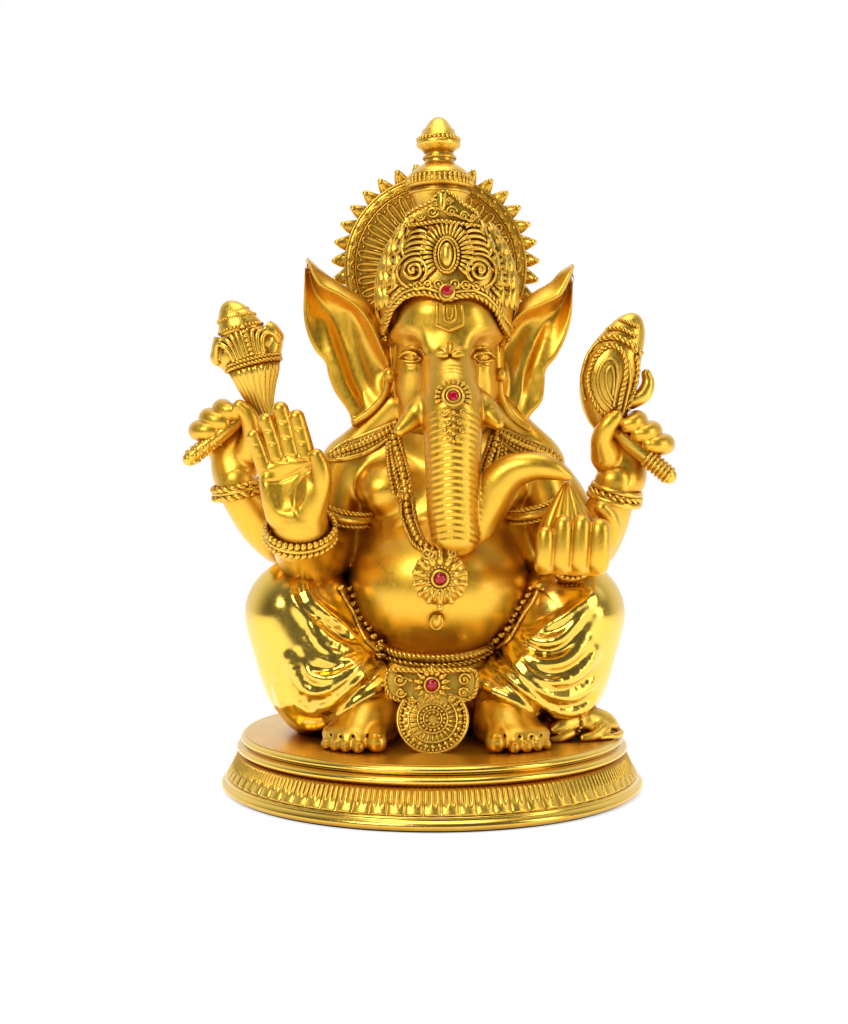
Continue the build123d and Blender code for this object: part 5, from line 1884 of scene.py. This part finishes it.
def build_stones(places):
    """Cut stones: a flat table, a ring of facets and a girdle, each set in its seat."""
    trim = Trim()
    sides = 10
    for at, normal in places:
        axes = facing(normal)
        verts = []
        for radius, height, twist in ((2.3, -1.6, 0), (2.45, 0.2, 0), (1.95, 0.9, 0.5),
                                      (1.15, 1.35, 0)):
            for k in range(sides):
                a = 2 * math.pi * (k + twist) / sides
                verts.append(np.array(at) + axes @ (radius * math.cos(a), radius * math.sin(a),
                                                    height))
        trim.put(verts, end_faces(4, sides) + quads(4, sides))
    return trim


# ---------------------------------------------------------------- assembly
build_floor()
build_world()
build_lamp("key", (-0.50, -0.80, 0.80), (0, 0, 0.15), (0.50, 0.50), 5.4)
build_lamp("fill", (0.80, -0.45, 0.40), (0, 0, 0.14), (0.25, 0.70), 2.0)
build_lamp("top", (0.0, -0.1, 1.1), (0, 0, 0.1), (0.7, 0.6), 3.3)
build_camera()
build_plinth()

body = sculpt_body()
legs = [sculpt_leg(-1, *right_cloth()), sculpt_leg(1, *left_cloth())]
write("figure_body", body, ["torso", "right_front_arm", "left_front_arm", "right_rear_arm",
                            "left_rear_arm"], "satin_gold")
write("right_leg_cloth", legs[0], ["right_leg"], "bright_gold")
write("left_leg_cloth", legs[1], ["left_leg"], "bright_gold")
write("right_bare_foot", sculpt_foot(-1), ["right_foot"], "satin_gold")
write("left_bare_foot", sculpt_foot(1), ["left_foot"], "satin_gold")
write("open_hand", sculpt_open_hand(), ["right_front_hand"], "satin_gold")
write("holding_hand", sculpt_holding_hand(), ["left_front_hand"], "satin_gold")
write("right_fist", sculpt_fist(
    -1, (-87, -8, 135), (-90, -8, 154),
    ((-80.5, -11, 150), (-79, -15, 158), (-80.5, -16.5, 165), (-84.5, -17, 169.5)),
    (((-103.5, 159), (-97.0, 158.5), 4.3), ((-99.0, 164.5), (-91.8, 162.5), 4.2),
     ((-93.2, 168.6), (-87.0, 167.0), 4.1))), ["right_rear_hand"], "satin_gold")
write("left_fist", sculpt_fist(
    1, (81.5, -8, 133), (87, -8, 150),
    ((76.5, -11, 148), (74.8, -14.5, 155), (77.2, -16.5, 161), (80.8, -17, 165)),
    (((103.0, 153.0), (96.0, 152.6), 4.4), ((97.6, 158.8), (91.0, 157.2), 4.2),
     ((91.4, 163.6), (86.2, 161.4), 4.0))), ["left_rear_hand"], "satin_gold")

head = sculpt_head()
write("head_and_trunk", head, ["head", "trunk", "right_tusk", "left_tusk"], "satin_gold")
write("right_dished_ear", sculpt_ear(RIGHT_EAR, RIGHT_LIP, RIGHT_LOW_LIP, -1, [
    ([(-48.5, 209), (-46, 200), (-43, 191), (-38.5, 179), (-33, 170)], 1.3),
    ([(-37.5, 211), (-36, 203), (-34, 193), (-30, 181), (-26, 174)], 1.2)]),
    ["right_ear"], "satin_gold")
write("left_dished_ear", sculpt_ear(LEFT_EAR, LEFT_LIP, LEFT_LOW_LIP, 1, [
    ([(54, 211), (51, 201), (47, 190), (43, 178), (40, 168)], 1.3),
    ([(45, 207), (42, 196), (39, 184), (37, 174)], 1.2)]),
    ["left_ear"], "satin_gold")

crown = sculpt_crown()
write("crown_dome", crown, ["crown"], "antique_gold")
write("crown_ornament", build_crown(crown), ["crown", "crown_plaque"], "antique_gold")
write("crown_tier", build_tier(), ["crown_plaque"], "antique_gold")
write("crown_finial_turning", build_finial(), ["crown_finial"], "antique_gold")
write("halo_rays", build_halo((1.6, 25.0, 235.5), 42.3, 47.6, 34), ["halo"], "antique_gold")

write("necklace_beads", build_necklace(body), ["necklace"], "antique_gold")
write("neck_beads", build_strands(body), ["neck_strands"], "antique_gold")
write("pendant_flower", build_pendant(), ["pendant"], "antique_gold")
write("belt_beads", build_belt(body, legs), ["waist_cord"], "antique_gold")
write("belt_plate", build_apron(), ["belt_apron"], "antique_gold")
write("buckle_flower", build_flower((0, -48.6, 51.5), (0, -1, 0), 7.6, 14), ["buckle"],
      "antique_gold")
write("medallion_disc", build_medallion(), ["hem_medallion"], "antique_gold")
write("right_shoulder_leaf", build_collar(
    body, [(-15.5, 164), (-23, 160.5), (-32, 156.5), (-41, 152), (-46.5, 147.5)],
    [(-15.5, 160), (-21, 154), (-29.5, 149), (-38.5, 146.4), (-46, 146)]),
    ["right_collar"], "antique_gold")
write("left_shoulder_leaf", build_collar(
    body, [(28, 162), (35.5, 158.5), (44, 154.5), (52.5, 150), (57.5, 146)],
    [(28, 158), (33, 152), (41, 147.6), (49.5, 144.8), (57, 144.4)]),
    ["left_collar"], "antique_gold")

# each bangle: name, node, place, direction, radius and rows of shift, swell, size and kind
ARMLET_ROWS = [(-3.0, 0, 1.0, "rope"), (0, 0.1, 1.5, "beads"), (3.0, 0, 1.0, "rope"),
               (0, -0.9, 2.4, "tube")]
for name, node, at, normal, radius, rows in (
        ("right_armlet_band", "armlets", (-38.7, -5, 124), (0.25, -0.30, 1), 13.6, ARMLET_ROWS),
        ("left_armlet_band", "armlets", (45.0, -5, 126), (-0.25, -0.30, 1), 13.6, ARMLET_ROWS),
        ("right_front_bangle_rows", "right_front_bangle", (-56, -37.5, 115.5),
         (0.02, -0.55, 0.83), 14.2,
         [(-2.2, 0.8, 1.5, "beads"), (0, 0.6, 1.2, "tube"), (2.2, 0.5, 1.5, "beads")]),
        ("left_front_bangle_rows", "left_front_bangle", (60, -34, 105.5), (0, -0.97, 0.05), 10.2,
         [(-1.6, 0, 1.3, "beads"), (0, 0.4, 1.0, "tube"), (1.6, 0, 1.3, "beads")]),
        ("right_rear_bangle_rows", "right_rear_bangle", (-86.6, -7.4, 133), (-0.18, -0.12, 0.97),
         10.6, [(-1.9, 0.4, 1.6, "rope"), (0, 0.2, 1.2, "tube"), (1.9, 0, 1.6, "rope")]),
        ("left_rear_bangle_rows", "left_rear_bangle", (82, -7.4, 131), (0.22, -0.18, 0.95), 10.6,
         [(-2.4, 0.7, 1.5, "tube"), (0, 0.3, 1.6, "rope"), (2.4, 0, 1.3, "tube")])):
    write(name, bangle(at, normal, radius, rows), [node], "antique_gold")

write("trunk_flower", build_trunk_ornament(head), ["trunk_ornament"], "antique_gold")
write("lidded_eyes", build_eyes(head), ["head"], "satin_gold")
write("brow_marks", build_brow_marks(head), ["head"], "satin_gold")
trunk_flower = lowest([head], *TRUNK_FLOWER, 0.6)
write("cut_stones", build_stones([
    (lowest([crown], 6.4, 218.0, 1.6), (0, -1, 0)),
    (trunk_flower + np.array([0, -1.0, 0.1]), head.normal(trunk_flower) * (0, 1, 1)),
    (PENDANT_AT + (0, -2.2, 0), PENDANT_WAY),
    ((0, -50.2, 51.5), (0, -1, 0))]), ["red_stones"], "red_crystal", shade=False)
write("short_ear_pins", build_ear_pins(), ["ear_pins"], "steel")
write("ear_stud_beads", build_ear_studs(), ["ear_studs"], "satin_gold")
write("right_flared_emblem", build_emblem_right(), ["right_rear_emblem"], "antique_gold")
write("left_leaf_emblem", build_emblem_left(), ["left_rear_emblem"], "antique_gold")
write("fluted_sweet", build_modak(), ["modak"], "satin_gold")
write("lying_mouse", sculpt_mouse(), ["mouse"], "antique_gold")
write("mouse_collar_beads", build_mouse_collar(), ["mouse_collar"], "antique_gold")
write("navel_drop_petal", build_navel_drop(), ["navel_drop"], "satin_gold")

for part in frame["record"]["subparts"]:
    node = frame["nodes"][part["node"]]
    node.data.materials.clear()
    node.data.materials.append(FINISHES[part["material_slot"]])
